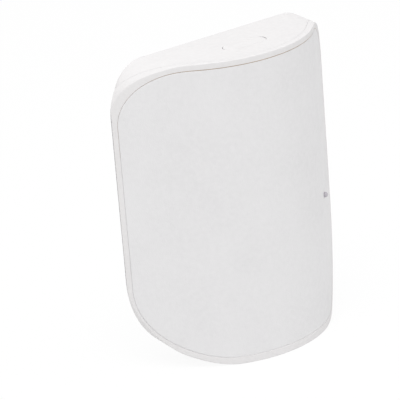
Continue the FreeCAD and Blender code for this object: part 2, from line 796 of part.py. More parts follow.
def tamper_pin(doc):
    """The sprung pin that the bracket holds in, with a collar inside the back wall."""
    shank = rod(doc, "pin_shank", "0", "bracket_gap - pin_rest_gap", "tamper_level", "pin_radius",
                "bracket_gap - pin_rest_gap + tamper_back + pin_depth")
    collar = rod(doc, "pin_collar", "0", "-back_wall - pin_rest_gap", "tamper_level",
                 "pin_collar_radius", "pin_collar_height")
    return fuse(doc, "tamper_pin", shank, collar)


def wall_bracket(doc):
    """The wall plate: two hooks for the housing's slots and two countersunk screw holes."""
    plate = rounded_plate(doc, "bracket_plate", "-bracket_reach", "bracket_foot", "bracket_head",
                          "bracket_half_width", "bracket_thickness", "bracket_corner")
    hooks = []
    for side, way in SIDES:
        left = f"{way} * hook_place - hook_width / 2"
        reach = "back_wall + hook_gap + hook_thickness"
        hooks.append(box(doc, f"hook_arm_{side}", left, f"-({reach})", "hook_level", "hook_width",
                         f"{reach} + bracket_gap + bracket_thickness / 2", "hook_thickness"))
        hooks.append(box(doc, f"hook_lip_{side}", left, f"-({reach})", "hook_level", "hook_width",
                         "hook_thickness", "hook_thickness + hook_rise"))
    whole = fuse(doc, "bracket_whole", plate, *hooks)
    cutters = []
    for end, way in (("low", -1), ("high", 1)):
        z = f"screw_middle + {way} * screw_hole_spread / 2"
        cutters.append(rod(doc, f"screw_hole_{end}", "0", f"bracket_reach + {BEYOND}", z,
                           "screw_hole_radius", f"bracket_reach + {BEYOND}"))
        sink = doc.addObject("Part::Cone", f"screw_sink_{end}")
        sink.Placement.Rotation = LAY_FORWARD
        bind(sink, Radius1="screw_hole_radius", Radius2="screw_sink_radius",
             Height="screw_sink_radius - screw_hole_radius", place_z=z,
             place_y="bracket_gap + screw_sink_radius - screw_hole_radius")
        cutters.append(sink)
    return cut(doc, "wall_bracket", whole, *cutters)


def finish(doc, pieces):
    """Labels each piece, moves it to the shared middle and checks every object."""
    for name, piece in pieces.items():
        piece.Label = name
        bind(piece, place_y="middle_shift")
    doc.recompute()
    for item in doc.Objects:
        if "Invalid" in item.State or "Error" in item.State:
            raise RuntimeError(f"{item.Name} failed: {item.State}")
    for name, piece in pieces.items():
        if piece.Shape.isNull() or not piece.Shape.isValid():
            raise RuntimeError(f"{name} has no valid shape")


def main():
    """Builds every sub-part and writes each to parts/NAME.step."""
    doc = FreeCAD.newDocument("motion_detector")
    size_sheet(doc)
    forms = Forms(doc)
    pieces = {
        "front_bezel": front_bezel(doc, forms),
        "front_window": front_window(doc, forms),
        "rear_housing": rear_housing(doc, forms),
        "battery_door": battery_door(doc),
        "battery_cell_lower": battery_cell(doc, "battery_cell_lower", 0, 1),
        "battery_cell_upper": battery_cell(doc, "battery_cell_upper", 1, -1),
        **contacts(doc),
        "circuit_board": circuit_board(doc),
        "board_screws": board_screws(doc),
        "pyro_sensor": pyro_sensor(doc),
        "pyro_filter": pyro_filter(doc),
        "sensor_boot": sensor_boot(doc),
        "light_guide": light_guide(doc, forms),
        "light_sensor": light_sensor(doc),
        "radio_shield": radio_shield(doc),
        "control_chip": control_chip(doc),
        "antenna_strip": antenna_strip(doc),
        "board_capacitors": board_capacitors(doc),
        "tact_switch": tact_switch(doc),
        "switch_plunger": switch_plunger(doc),
        "top_button": top_button(doc),
        "tamper_switch": tamper_switch(doc),
        "tamper_pin": tamper_pin(doc),
        "wall_bracket": wall_bracket(doc),
    }
    finish(doc, pieces)
    os.makedirs("parts", exist_ok=True)
    for name, piece in pieces.items():
        piece.Shape.exportStep(f"parts/{name}.step")


main()
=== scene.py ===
"""Looks of a wireless motion detector.

A matt white D-shaped case: a bezel bent round an inset lens window, a flat-backed housing with a
pill button in its top face, and a wall bracket behind it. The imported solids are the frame. Every
piece that a hand or an eye reaches is rebuilt here with soft edges and true curves, and every
other solid is dressed.

Shapes are worked in millimetres with the housing's back face at Y = 0 and its foot at Z = 0, and
are moved and scaled into the frame when a piece is made.
"""

import json
import logging
from dataclasses import dataclass, replace
from enum import Enum
from math import asin, copysign, cos, radians, sin, sqrt, tan, tau
from typing import Iterable, Sequence

import bmesh
import bpy
from bmesh.types import BMEdge, BMesh, BMVert
from bpy.types import ID, Material, Mesh, Node, NodeSocket, NodeTree, Object
from mathutils import Matrix, Vector

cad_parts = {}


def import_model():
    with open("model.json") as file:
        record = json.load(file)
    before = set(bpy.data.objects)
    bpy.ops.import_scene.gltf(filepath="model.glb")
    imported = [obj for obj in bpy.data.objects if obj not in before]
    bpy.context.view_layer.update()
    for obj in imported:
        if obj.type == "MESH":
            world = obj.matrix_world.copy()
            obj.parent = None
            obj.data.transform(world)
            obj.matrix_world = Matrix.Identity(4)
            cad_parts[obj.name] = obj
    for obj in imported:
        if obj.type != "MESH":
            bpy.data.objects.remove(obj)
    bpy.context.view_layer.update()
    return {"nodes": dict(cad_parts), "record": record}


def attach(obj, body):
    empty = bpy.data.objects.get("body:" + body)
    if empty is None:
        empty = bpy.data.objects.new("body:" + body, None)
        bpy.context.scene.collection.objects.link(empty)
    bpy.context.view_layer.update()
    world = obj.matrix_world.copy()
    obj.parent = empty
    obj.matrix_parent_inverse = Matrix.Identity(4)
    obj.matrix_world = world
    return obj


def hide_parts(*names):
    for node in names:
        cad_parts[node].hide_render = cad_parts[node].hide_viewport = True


log = logging.getLogger("motion_detector")

Loop = list[Vector]
SIDES = (-1, 1)
# A millimetre and a thousandth of one, in metres.
MM = 0.001
MICRON = 1e-6
# Where a soft edge's middle loop lies, as a share of the edge's size.
EASE = 0.3
# How far past a face a cutter starts, or an end that is moved onto the face later.
BEYOND = 1.0
# The distance within which a new skin's points are joined.
WELD = 2e-4
# The smallest radius that an outline's corners are left with.
SHARPEST = 0.05
# How much large faces outweigh small ones in smooth shading, where 50 is evenly.
FACE_WEIGHT = 80


class Body(Enum):
    """The bodies that pieces ride on."""

    DETECTOR = "detector"
    PUSH_BUTTON = "push_button"
    TAMPER_PIN = "tamper_pin"


class Grain(Enum):
    """Kinds of fine surface texture, each with the texture scale of its noise."""

    MOULDED = 2600.0
    SATIN = 5200.0
    BRUSHED = 900.0


class Axis(Enum):
    """The line that a turned piece is turned about."""

    ALONG_X = "x"
    ALONG_Y = "y"
    ALONG_Z = "z"


@dataclass(frozen=True)
class CaseSizes:
    """Sizes that the case's pieces share, in millimetres.

    They are the solids' own, but for the window's place and gaps and the seam's gap, which are
    set so that the seams look as they do in the photograph.
    """

    half_width: float = 44.0
    height: float = 101.0
    nose_depth: float = 29.4
    side_depth: float = 1.7
    flank_angle: float = 44.5
    top_corner: float = 19.4
    bottom_corner: float = 27.0
    side_top_corner: float = 16.0
    back_top_corner: float = 11.0
    back_bottom_corner: float = 30.0
    corner_blend: float = 13.0
    back_taper: float = 3.4
    bezel_wall: float = 2.1
    rim: float = 1.9
    rim_foot: float = 2.4
    ledge: float = 1.6
    window_flush: float = 0.1
    window_thickness: float = 1.0
    window_bed: float = 0.1
    window_gap: float = 0.08
    window_gap_head: float = 0.19
    window_gap_foot: float = 0.14
    window_drop: float = -0.1
    seam_gap: float = 0.06
    plate_wall: float = 2.2
    back_wall: float = 2.0
    bay_half: float = 25.25
    bay_foot: float = 8.0
    bay_height: float = 22.7
    bay_wall: float = 1.2
    bay_depth: float = 13.1
    board_back: float = 8.0
    board_front: float = 9.6
    sensor_level: float = 66.0
    middle_shift: float = 13.35

    @property
    def turn(self) -> float:
        """The flank's angle in radians."""
        return radians(self.flank_angle)

    @property
    def nose_radius(self) -> float:
        """The nose's radius, which lets the flanks reach the sides at their depth."""
        drop = self.half_width * tan(self.turn) - self.nose_depth + self.side_depth
        return drop / (1 / cos(self.turn) - 1)

    @property
    def rim_side(self) -> float:
        """The rim's width at the sides, seen from the front."""
        return self.rim * cos(self.turn)

    @property
    def bay_head(self) -> float:
        """The highest place of the battery bay's opening."""
        return self.bay_foot + self.bay_height

    @property
    def rebate_depth(self) -> float:
        """How deep the window's bed lies below the front."""
        return self.window_flush + self.window_thickness + self.window_bed

    @property
    def ledge_middle(self) -> float:
        """The depth of the middle of the ledge's wall."""
        return (self.rebate_depth + self.bezel_wall) / 2

    def front_y(self, x: float, depth: float) -> float:
        """Where the bent front lies.

        Args:
            x: the place across the width.
            depth: how far below the outer skin, square to it.

        Returns:
            The Y of that surface.
        """
        radius = self.nose_radius - depth
        centre = self.nose_radius - self.nose_depth
        touch = radius * sin(self.turn)
        if abs(x) <= touch:
            return centre - sqrt(radius * radius - x * x)
        return centre - radius * cos(self.turn) + (abs(x) - touch) * tan(self.turn)

    def pane_y(self, x: float, depth: float) -> float:
        """Where a layer of the window lies: its face rises to the rim at the sides.

        Args:
            x: the place across the width.
            depth: how far below the outer skin the layer was drawn.

        Returns:
            The Y of that layer.
        """
        share = (self.window_flush + self.window_thickness - depth) / self.window_thickness
        drop = self.window_drop * (x / self.half_width) ** 2 * min(max(share, 0), 1)
        return self.front_y(x, depth + drop)

    def front_x(self, y: float, depth: float) -> float:
        """The X at which the flank below the outer skin reaches a given Y.

        Args:
            y: the place from front to back.
            depth: how far below the outer skin the surface lies.

        Returns:
            That X.
        """
        radius = self.nose_radius - depth
        start = self.nose_radius - self.nose_depth - radius * cos(self.turn)
        return radius * sin(self.turn) + (y - start) / tan(self.turn)


SIZES = CaseSizes()


def kept_within(place: float, reach: float) -> float:
    """The nearest place that lies no further out than a reach, on either side."""
    return copysign(min(abs(place), reach), place)


@dataclass(frozen=True)
class Outline:
    """A rectangle with round corners, seen from the front.

    Its points run the same way and in the same number whatever its size, so that two outlines
    can be joined point by point.
    """

    half_width: float
    foot: float
    head: float
    top_corner: float
    bottom_corner: float
    steps: tuple[int, int, int, int, int] = (32, 36, 12, 26, 44)

    def inset(self, side: float, head: float | None = None,
              foot: float | None = None) -> "Outline":
        """Moves the outline inwards.

        Args:
            side: how far the two sides move.
            head: how far the head moves, as far as the sides if left out.
            foot: how far the foot moves, as far as the head if left out.

        Returns:
            The smaller outline, with smaller corners.
        """
        head = side if head is None else head
        foot = head if foot is None else foot
        return replace(self, half_width=self.half_width - side, foot=self.foot + foot,
                       head=self.head - head, top_corner=max(self.top_corner - head, SHARPEST),
                       bottom_corner=max(self.bottom_corner - foot, SHARPEST))

    def points(self) -> Loop:
        """The outline's points as (x, 0, z), from the foot's left end and round by the right.

        Returns:
            The points, as many whatever the outline's size.
        """
        low, high, half = self.bottom_corner, self.top_corner, self.half_width
        foot, head = self.foot, self.head
        foot_steps, low_steps, side_steps, high_steps, head_steps = self.steps
        stretches = (
            self._run((low - half, foot), (half - low, foot), foot_steps),
            self._arc(half - low, foot + low, low, 270, low_steps),
            self._run((half, foot + low), (half, head - high), side_steps),
            self._arc(half - high, head - high, high, 0, high_steps),
            self._run((half - high, head), (high - half, head), head_steps),
            self._arc(high - half, head - high, high, 90, high_steps),
            self._run((-half, head - high), (-half, foot + low), side_steps),
            self._arc(low - half, foot + low, low, 180, low_steps),
        )
        return [point for stretch in stretches for point in stretch]

    def at(self, y: float) -> Loop:
        """The outline laid into the plane of a given Y."""
        return [Vector((point.x, y, point.z)) for point in self.points()]

    def bent(self, depth: float) -> Loop:
        """The outline laid onto the surface that far below the case's outer skin."""
        return [Vector((point.x, SIZES.front_y(point.x, depth), point.z))
                for point in self.points()]

    def rounded(self, flat: float, soft: float, way: int = 1) -> list[Loop]:
        """The loops of a soft edge between a flat face and the wall.

        Args:
            flat: the Y of the face.
            soft: the size of the edge.
            way: 1 where the wall lies at a greater Y than the face, and -1 where it lies at less.

        Returns:
            Three loops, from the face to the wall.
        """
        eased = soft * EASE
        return [self.inset(soft).at(flat), self.inset(eased).at(flat + way * eased),
                self.at(flat + way * soft)]

    @staticmethod
    def _run(start: tuple[float, float], end: tuple[float, float], steps: int) -> Loop:
        """Points along a straight run, without its last."""
        near, far = (Vector((x, 0, z)) for x, z in (start, end))
        return [near.lerp(far, step / steps) for step in range(steps)]

    @staticmethod
    def _arc(x: float, z: float, radius: float, start: float, steps: int) -> Loop:
        """Points along a quarter circle from a start angle in degrees, without its last.

        Args:
            x: the X of its middle.
            z: the Z of its middle.
            radius: its radius.
            start: the angle of its first point, in degrees.
            steps: how many points it has.

        Returns:
            The points.
        """
        turns = (radians(start + 90 * step / steps) for step in range(steps))
        return [Vector((x + radius * cos(turn), 0, z + radius * sin(turn)))
                for turn in turns]


def plate_outline(half_width: float, foot: float, head: float, corner: float, straight: int = 2,
                  curved: int = 8) -> Outline:
    """A small plate's outline, with few points along its runs and round its corners."""
    return Outline(half_width, foot, head, corner, corner, (straight, curved) * 2 + (straight,))


class CaseForm:
    """The case's outer wall: outlines that change from the bezel to the back face."""

    halvings = 40
    ahead = 5.0

    def __init__(self) -> None:
        """Works out the wall's outlines at the front, near the back and at the back."""
        size = SIZES
        self.front = Outline(size.half_width, 0, size.height, size.top_corner, size.bottom_corner)
        self.rim = self.front.inset(size.rim_side, size.rim, size.rim_foot)
        side = replace(self.front, top_corner=size.side_top_corner,
                       bottom_corner=size.back_bottom_corner)
        self.back = replace(side, half_width=size.half_width - size.back_taper,
                            top_corner=size.back_top_corner)
        self.far = -size.nose_depth - self.ahead
        self._levels = [
            (0.0, self.back.points()),
            (-size.side_depth, side.points()),
            (-size.corner_blend, self.front.points()),
            (self.far, self.front.points()),
        ]
        self.count = len(self._levels[0][1])

    def wall_point(self, index: int, y: float) -> Vector:
        """The wall's point on one line of the loft at a given Y.

        Args:
            index: which line of the wall.
            y: the place from front to back.

        Returns:
            The point, which lies on the last outline past the wall's far end.
        """
        for (near, first), (far, second) in zip(self._levels, self._levels[1:]):
            if y >= far:
                point = first[index].lerp(second[index], (near - y) / (near - far))
                return Vector((point.x, y, point.z))
        point = self._levels[-1][1][index]
        return Vector((point.x, y, point.z))

    def seam_point(self, index: int, depth: float) -> Vector:
        """Where one line of the wall meets the bent surface below the outer skin.

        Args:
            index: which line of the wall.
            depth: how far below the outer skin the surface lies.

        Returns:
            The meeting point, or the place on the back face nearest to it.
        """
        back = self.wall_point(index, 0)
        if SIZES.front_y(back.x, depth) >= 0:
            return Vector((kept_within(back.x, SIZES.front_x(0, depth)), 0, back.z))
        near, far = 0.0, self.far
        for _ in range(self.halvings):
            middle = (near + far) / 2
            if middle > SIZES.front_y(self.wall_point(index, middle).x, depth):
                near = middle
            else:
                far = middle
        return self.wall_point(index, near)

    def seam(self, depth: float) -> Loop:
        """The whole loop where the wall meets the surface that far below the outer skin."""
        return [self.seam_point(index, depth) for index in range(self.count)]

    def wall_loop(self, y: float, depth: float) -> Loop:
        """The wall's loop at a given Y, kept behind the surface that far below the skin.

        Args:
            y: the place from front to back.
            depth: how far below the outer skin the surface lies.

        Returns:
            The loop, with one point for each line of the wall.
        """
        loop = []
        for index in range(self.count):
            point, seam = self.wall_point(index, y), self.seam_point(index, depth)
            loop.append(point if point.y >= seam.y and seam.y < 0 else seam)
        return loop

    def wall_between(self, y: float, outer: float, inner: float) -> Loop:
        """The wall's loop at a given Y, kept between two surfaces below the outer skin.

        Args:
            y: the place from front to back.
            outer: how far below the outer skin the surface in front lies.
            inner: how far below the outer skin the surface behind lies.

        Returns:
            The loop, with one point for each line of the wall.
        """
        loop = []
        for index in range(self.count):
            ahead, behind = self.seam_point(index, outer), self.seam_point(index, inner)
            level = min(max(y, ahead.y), behind.y if behind.y < 0 else 0)
            loop.append(self.wall_point(index, level))
        return loop


def turned_loop(middle: Vector, radius: float, along: float, axis: Axis = Axis.ALONG_Y,
                steps: int = 40) -> Loop:
    """A round loop about a line through a point.

    Args:
        middle: the point.
        radius: the loop's radius.
        along: how far along the line the loop lies from the point.
        axis: which way the line runs.
        steps: how many points the loop has.

    Returns:
        The loop's points.
    """
    loop = []
    for step in range(steps):
        turn = tau * step / steps
        across, up = radius * cos(turn), radius * sin(turn)
        offset = {Axis.ALONG_X: (along, across, up), Axis.ALONG_Y: (across, along, up),
                  Axis.ALONG_Z: (across, up, along)}[axis]
        loop.append(middle + Vector(offset))
    return loop


def mesh_of(name: str, bm: BMesh) -> Mesh:
    """A new mesh with what a working mesh holds, which is freed.

    Args:
        name: the new mesh's name.
        bm: the working mesh, which is freed.

    Returns:
        The new mesh.
    """
    mesh = bpy.data.meshes.new(name)
    bm.to_mesh(mesh)
    bm.free()
    return mesh


def put(name: str, data: ID) -> Object:
    """A new object of some data, linked into the scene.

    Args:
        name: the new object's name.
        data: its mesh, lamp or camera.

    Returns:
        The new object, at the origin.
    """
    item = bpy.data.objects.new(name, data)
    bpy.context.scene.collection.objects.link(item)
    return item


def start_loop(bm: BMesh, points: Sequence[Vector]) -> list[BMVert]:
    """A ring of edges laid onto the points given.

    Args:
        bm: the working mesh.
        points: where its corners go.

    Returns:
        The ring's corners, in the order of the points.
    """
    made = bmesh.ops.create_circle(bm, cap_ends=False, segments=len(points), radius=1)
    for vert, point in zip(made["verts"], points):
        vert.co = point
    return made["verts"]


def loop_edges(loop: Sequence[BMVert]) -> list[BMEdge]:
    """The edges between neighbours in a closed loop.

    Args:
        loop: the loop's corners in order.

    Returns:
        The edges, the last of them back to the first corner.
    """
    edges = []
    for first, second in zip(loop, [*loop[1:], loop[0]]):
        edges.append(next(edge for edge in first.link_edges if edge.other_vert(first) is second))
    return edges


def sweep_on(bm: BMesh, loop: Sequence[BMVert], points: Sequence[Vector]) -> list[BMVert]:
    """Extrudes a closed loop and lays the new one onto the points given.

    Args:
        bm: the working mesh.
        loop: the loop's corners in order.
        points: where the new corners go.

    Returns:
        The new loop's corners, in the same order.
    """
    made = bmesh.ops.extrude_edge_only(bm, edges=loop_edges(loop))
    fresh = {item for item in made["geom"] if isinstance(item, BMVert)}
    result = []
    for vert, point in zip(loop, points):
        new = next(edge.other_vert(vert) for edge in vert.link_edges
                   if edge.other_vert(vert) in fresh)
        new.co = point
        result.append(new)
    return result


def skin(loops: Sequence[Loop], ring: bool = False) -> BMesh:
    """Makes a closed skin through loops of points.

    Args:
        loops: the loops in order, each with the same number of points.
        ring: whether the last loop joins the first, instead of both being capped.

    Returns:
        The skin as a new mesh.
    """
    bm = bmesh.new()
    first = loop = start_loop(bm, loops[0])
    if not ring:
        bmesh.ops.contextual_create(bm, geom=loop_edges(first))
    for points in loops[1:]:
        loop = sweep_on(bm, loop, points)
    if ring:
        sweep_on(bm, loop, loops[0])
    else:
        bmesh.ops.contextual_create(bm, geom=loop_edges(loop))
    bmesh.ops.remove_doubles(bm, verts=bm.verts, dist=WELD)
    bmesh.ops.dissolve_degenerate(bm, dist=WELD / 2, edges=bm.edges)
    bmesh.ops.recalc_face_normals(bm, faces=bm.faces)
    return bm


def turned(middle: Vector, profile: Sequence[tuple[float, float]], axis: Axis = Axis.ALONG_Y,
           ring: bool = False, steps: int = 40) -> BMesh:
    """Makes a closed turned skin.

    Args:
        middle: a point on the line that it is turned about.
        profile: each loop's radius and its place along the line.
        axis: which way the line runs.
        ring: whether the last loop joins the first, instead of both being capped.
        steps: how many points each loop has.

    Returns:
        The skin as a new mesh.
    """
    return skin([turned_loop(middle, radius, along, axis, steps) for radius, along in profile],
                ring)


def mouth_cutter(edge: Outline, chamfer: float, depth: float) -> BMesh:
    """A cutter for a hole in the back face, with a chamfer round its mouth."""
    wide = edge.inset(-chamfer)
    return skin([wide.at(BEYOND), wide.at(0), edge.at(-chamfer), edge.at(-depth)])


def join(target: BMesh, *parts: BMesh) -> None:
    """Adds meshes to another and frees them.

    Args:
        target: the mesh that takes the new parts.
        parts: the meshes that are added, which are freed.
    """
    for part in parts:
        mesh = mesh_of("joined", part)
        target.from_mesh(mesh)
        bpy.data.meshes.remove(mesh)


def block(low: Sequence[float], high: Sequence[float], soft: float = 0.0) -> BMesh:
    """A block between two corners, its edges bevelled where soft is more than nothing.

    Args:
        low: the corner with the lowest coordinates.
        high: the corner with the highest coordinates.
        soft: the size of the bevel.

    Returns:
        The block as a new mesh.
    """
    low, high = Vector(low), Vector(high)
    bm = bmesh.new()
    bmesh.ops.create_cube(bm, size=1)
    bmesh.ops.scale(bm, vec=high - low, verts=bm.verts)
    bmesh.ops.translate(bm, vec=(low + high) / 2, verts=bm.verts)
    if soft:
        bevel_all(bm, soft)
    return bm


def bevel_all(bm: BMesh, soft: float) -> None:
    """Bevels every edge of a mesh."""
    bmesh.ops.bevel(bm, geom=bm.edges, offset=soft, offset_type="OFFSET", segments=2,
                    profile=0.5, affect="EDGES", material=-1)


def cut_along(bm: BMesh, place: Sequence[float], normal: Sequence[float],
              clear: bool = False) -> list[BMEdge]:
    """Cuts every face of a mesh along a plane.

    Args:
        bm: the mesh.
        place: a point of the plane.
        normal: the plane's normal.
        clear: whether what lies past the plane is taken away.

    Returns:
        The edges that lie on the cut.
    """
    made = bmesh.ops.bisect_plane(bm, geom=[*bm.verts, *bm.edges, *bm.faces], dist=1e-5,
                                  plane_co=place, plane_no=normal, clear_outer=clear)
    return [item for item in made["geom_cut"] if isinstance(item, BMEdge)]


def slice_across(bm: BMesh, reach: float, step: float) -> None:
    """Cuts every face at even steps along X, so that it can be bent.

    Args:
        bm: the working mesh.
        reach: how far to each side the cuts go.
        step: how far apart they lie.
    """
    count = int(reach / step)
    for index in range(-count, count + 1):
        cut_along(bm, (index * step, 0, 0), (1, 0, 0))


@dataclass(frozen=True)
class Workshop:
    """Turns meshes in millimetres into finished pieces of the frame.

    Attributes:
        finishes: the material of each finish, most of them named as the record's slots.
    """

    finishes: dict[str, Material]

    def piece(self, name: str, bm: BMesh, slot: str, nodes: Iterable[str],
              body: Body = Body.DETECTOR, cutters: Sequence[BMesh] = (), sharp: float = 38.0,
              finish: str = "") -> None:
        """Makes an object from a mesh, sets it on its body and hides the solids that it stands
        for.

        Args:
            name: the piece's name.
            bm: the mesh, which is freed.
            slot: the record's material slot.
            nodes: the solids that it stands for.
            body: the body that the piece rides on.
            cutters: closed meshes that are cut out of it, which are freed.
            sharp: the angle in degrees past which an edge stays a crease.
            finish: the name of its own finish, where it isn't the slot's.
        """
        piece = self._object(name, bm)
        if cutters:
            self._carve(piece, cutters)
        piece.data.materials.clear()
        piece.data.materials.append(self.finishes[finish or slot])
        piece.data.shade_smooth()
        piece.data.set_sharp_from_angle(angle=radians(sharp))
        weighted = piece.modifiers.new("even_shade", "WEIGHTED_NORMAL")
        weighted.mode = "FACE_AREA"
        weighted.weight = FACE_WEIGHT
        weighted.keep_sharp = True
        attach(piece, body.value)
        for node in nodes:
            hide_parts(node)
        log.info("%s: %d faces on %s", name, len(piece.data.polygons), body.value)

    @staticmethod
    def _object(name: str, bm: BMesh) -> Object:
        """An object at the origin whose mesh is moved and scaled into the frame.

        Args:
            name: the object's name.
            bm: its mesh in millimetres, which is freed.

        Returns:
            The new object.
        """
        place = Matrix.Scale(MM, 4) @ Matrix.Translation((0, SIZES.middle_shift, 0))
        bmesh.ops.transform(bm, matrix=place, verts=bm.verts)
        return put(name, mesh_of(name, bm))

    def _carve(self, piece: Object, cutters: Sequence[BMesh]) -> None:
        """Cuts closed meshes out of a piece.

        Args:
            piece: the piece that is cut.
            cutters: the closed meshes, which are freed.
        """
        tools = [self._object(f"cutter_{index}", cutter) for index, cutter in enumerate(cutters)]
        for tool in tools:
            step = piece.modifiers.new("carve", "BOOLEAN")
            step.operation = "DIFFERENCE"
            step.solver = "EXACT"
            step.object = tool
        graph = bpy.context.evaluated_depsgraph_get()
        carved = bpy.data.meshes.new_from_object(piece.evaluated_get(graph))
        piece.modifiers.clear()
        old = piece.data
        piece.data = carved
        bpy.data.meshes.remove(old)
        self._clean(carved)
        for tool in tools:
            mesh = tool.data
            bpy.data.objects.remove(tool)
            bpy.data.meshes.remove(mesh)

    @staticmethod
    def _clean(mesh: Mesh) -> None:
        """Closes up the slivers that a cut leaves and takes away what is left loose of them.

        Args:
            mesh: the mesh of a piece that was cut.
        """
        bm = bmesh.new()
        bm.from_mesh(mesh)
        bmesh.ops.remove_doubles(bm, verts=bm.verts, dist=2 * MICRON)
        bmesh.ops.dissolve_degenerate(bm, dist=MICRON, edges=bm.edges)
        slivers = [face for face in bm.faces if face.calc_area() < MICRON ** 2]
        bmesh.ops.delete(bm, geom=slivers, context="FACES")
        bm.to_mesh(mesh)
        bm.free()


@dataclass(frozen=True)
class SnapTabs:
    """The four tabs that hold the bezel in the housing, and the pockets for their catches."""

    width: float = 9.0
    length: float = 9.0
    thickness: float = 1.5
    high_place: float = 17.0
    low_place: float = 12.0
    gap: float = 0.2
    catch_height: float = 0.7
    catch_length: float = 1.6
    catch_inset: float = 0.1
    soft: float = 0.2

    def places(self) -> Iterable[tuple[float, float, float, float]]:
        """Each tab's middle, how far back it starts, its lowest Z and its catch's lowest Z.

        Returns:
            The four numbers of each of the four tabs.
        """
        inside = SIZES.plate_wall + self.gap
        for way in SIDES:
            yield (way * self.low_place, self._root(self.low_place), inside,
                   inside - self.catch_height)
            yield (way * self.high_place, self._root(self.high_place),
                   SIZES.height - inside - self.thickness, SIZES.height - inside)

    def _root(self, place: float) -> float:
        """The Y of the ledge's middle at a tab's outer edge."""
        return SIZES.front_y(place + self.width / 2, SIZES.ledge_middle)

    def build(self, target: BMesh) -> None:
        """Adds the tabs and their catches to the bezel's mesh.

        Args:
            target: the bezel's mesh.
        """
        half, catch_half = self.width / 2, self.width / 2 - self.catch_inset
        for x, root, foot, catch in self.places():
            tab = block((x - half, root - BEYOND, foot),
                        (x + half, root + self.length, foot + self.thickness))
            for vert in tab.verts:
                if vert.co.y < root:
                    vert.co.y = SIZES.front_y(vert.co.x, SIZES.ledge_middle)
            bevel_all(tab, self.soft)
            end = root + self.length - self.soft / 2
            join(target, tab, block((x - catch_half, end - self.catch_length, catch),
                                    (x + catch_half, end, catch + self.catch_height), self.soft))

    def pockets(self) -> list[BMesh]:
        """Cutters for the catches' pockets in the housing's plates.

        Returns:
            Four cutters.
        """
        half, gap = self.width / 2 + self.gap, self.gap
        return [block((x - half, root + self.length - self.catch_length - gap, catch - gap),
                      (x + half, root + self.length + gap, catch + self.catch_height + 2 * gap))
                for x, root, _, catch in self.places()]


@dataclass(frozen=True)
class Bezel:
    """The bent front frame: a rim round the window and the ledge that the window rests on."""

    edge: float = 0.25
    soft: float = 0.11
    turns: tuple[int, ...] = (0, 30, 60, 90)
    tabs: SnapTabs = SnapTabs()

    def build(self, form: CaseForm, shop: Workshop) -> None:
        """Builds the frame and its tabs.

        Args:
            form: the case's outer wall.
            shop: the workshop that finishes the pieces.
        """
        size, soft, rim = SIZES, self.soft, form.rim
        ledge = rim.inset(size.ledge)
        bm = skin([
            *(self._edge(form, turn) for turn in self.turns),
            rim.inset(-soft).bent(0),
            rim.inset(-soft * EASE).bent(soft * EASE),
            rim.bent(soft),
            rim.bent(size.rebate_depth),
            ledge.bent(size.rebate_depth),
            ledge.bent(size.bezel_wall),
            form.seam(size.bezel_wall),
            form.wall_between(0, 0, size.bezel_wall),
            form.wall_between(-size.side_depth, 0, size.bezel_wall),
        ], ring=True)
        self.tabs.build(bm)
        shop.piece("bezel", bm, "body_plastic", ["front_bezel"])

    def _edge(self, form: CaseForm, angle: float) -> Loop:
        """One loop of the outer edge's rounding, from the wall at 0 to the front at 90.

        Args:
            form: the case's outer wall.
            angle: how far round the rounding the loop lies, in degrees.

        Returns:
            The loop, with one point for each line of the wall.
        """
        turn = radians(angle)
        inwards = self.edge * (1 - cos(turn))
        below = self.edge * (1 - sin(turn))
        loop = []
        outer, inner = form.front.points(), form.front.inset(inwards).points()
        for point, start, end in zip(form.seam(below), outer, inner):
            x, z = point.x + end.x - start.x, point.z + end.z - start.z
            y = SIZES.front_y(x, below)
            loop.append(Vector((x, max(point.y, y) if angle == 0 else y, z)))
        return loop


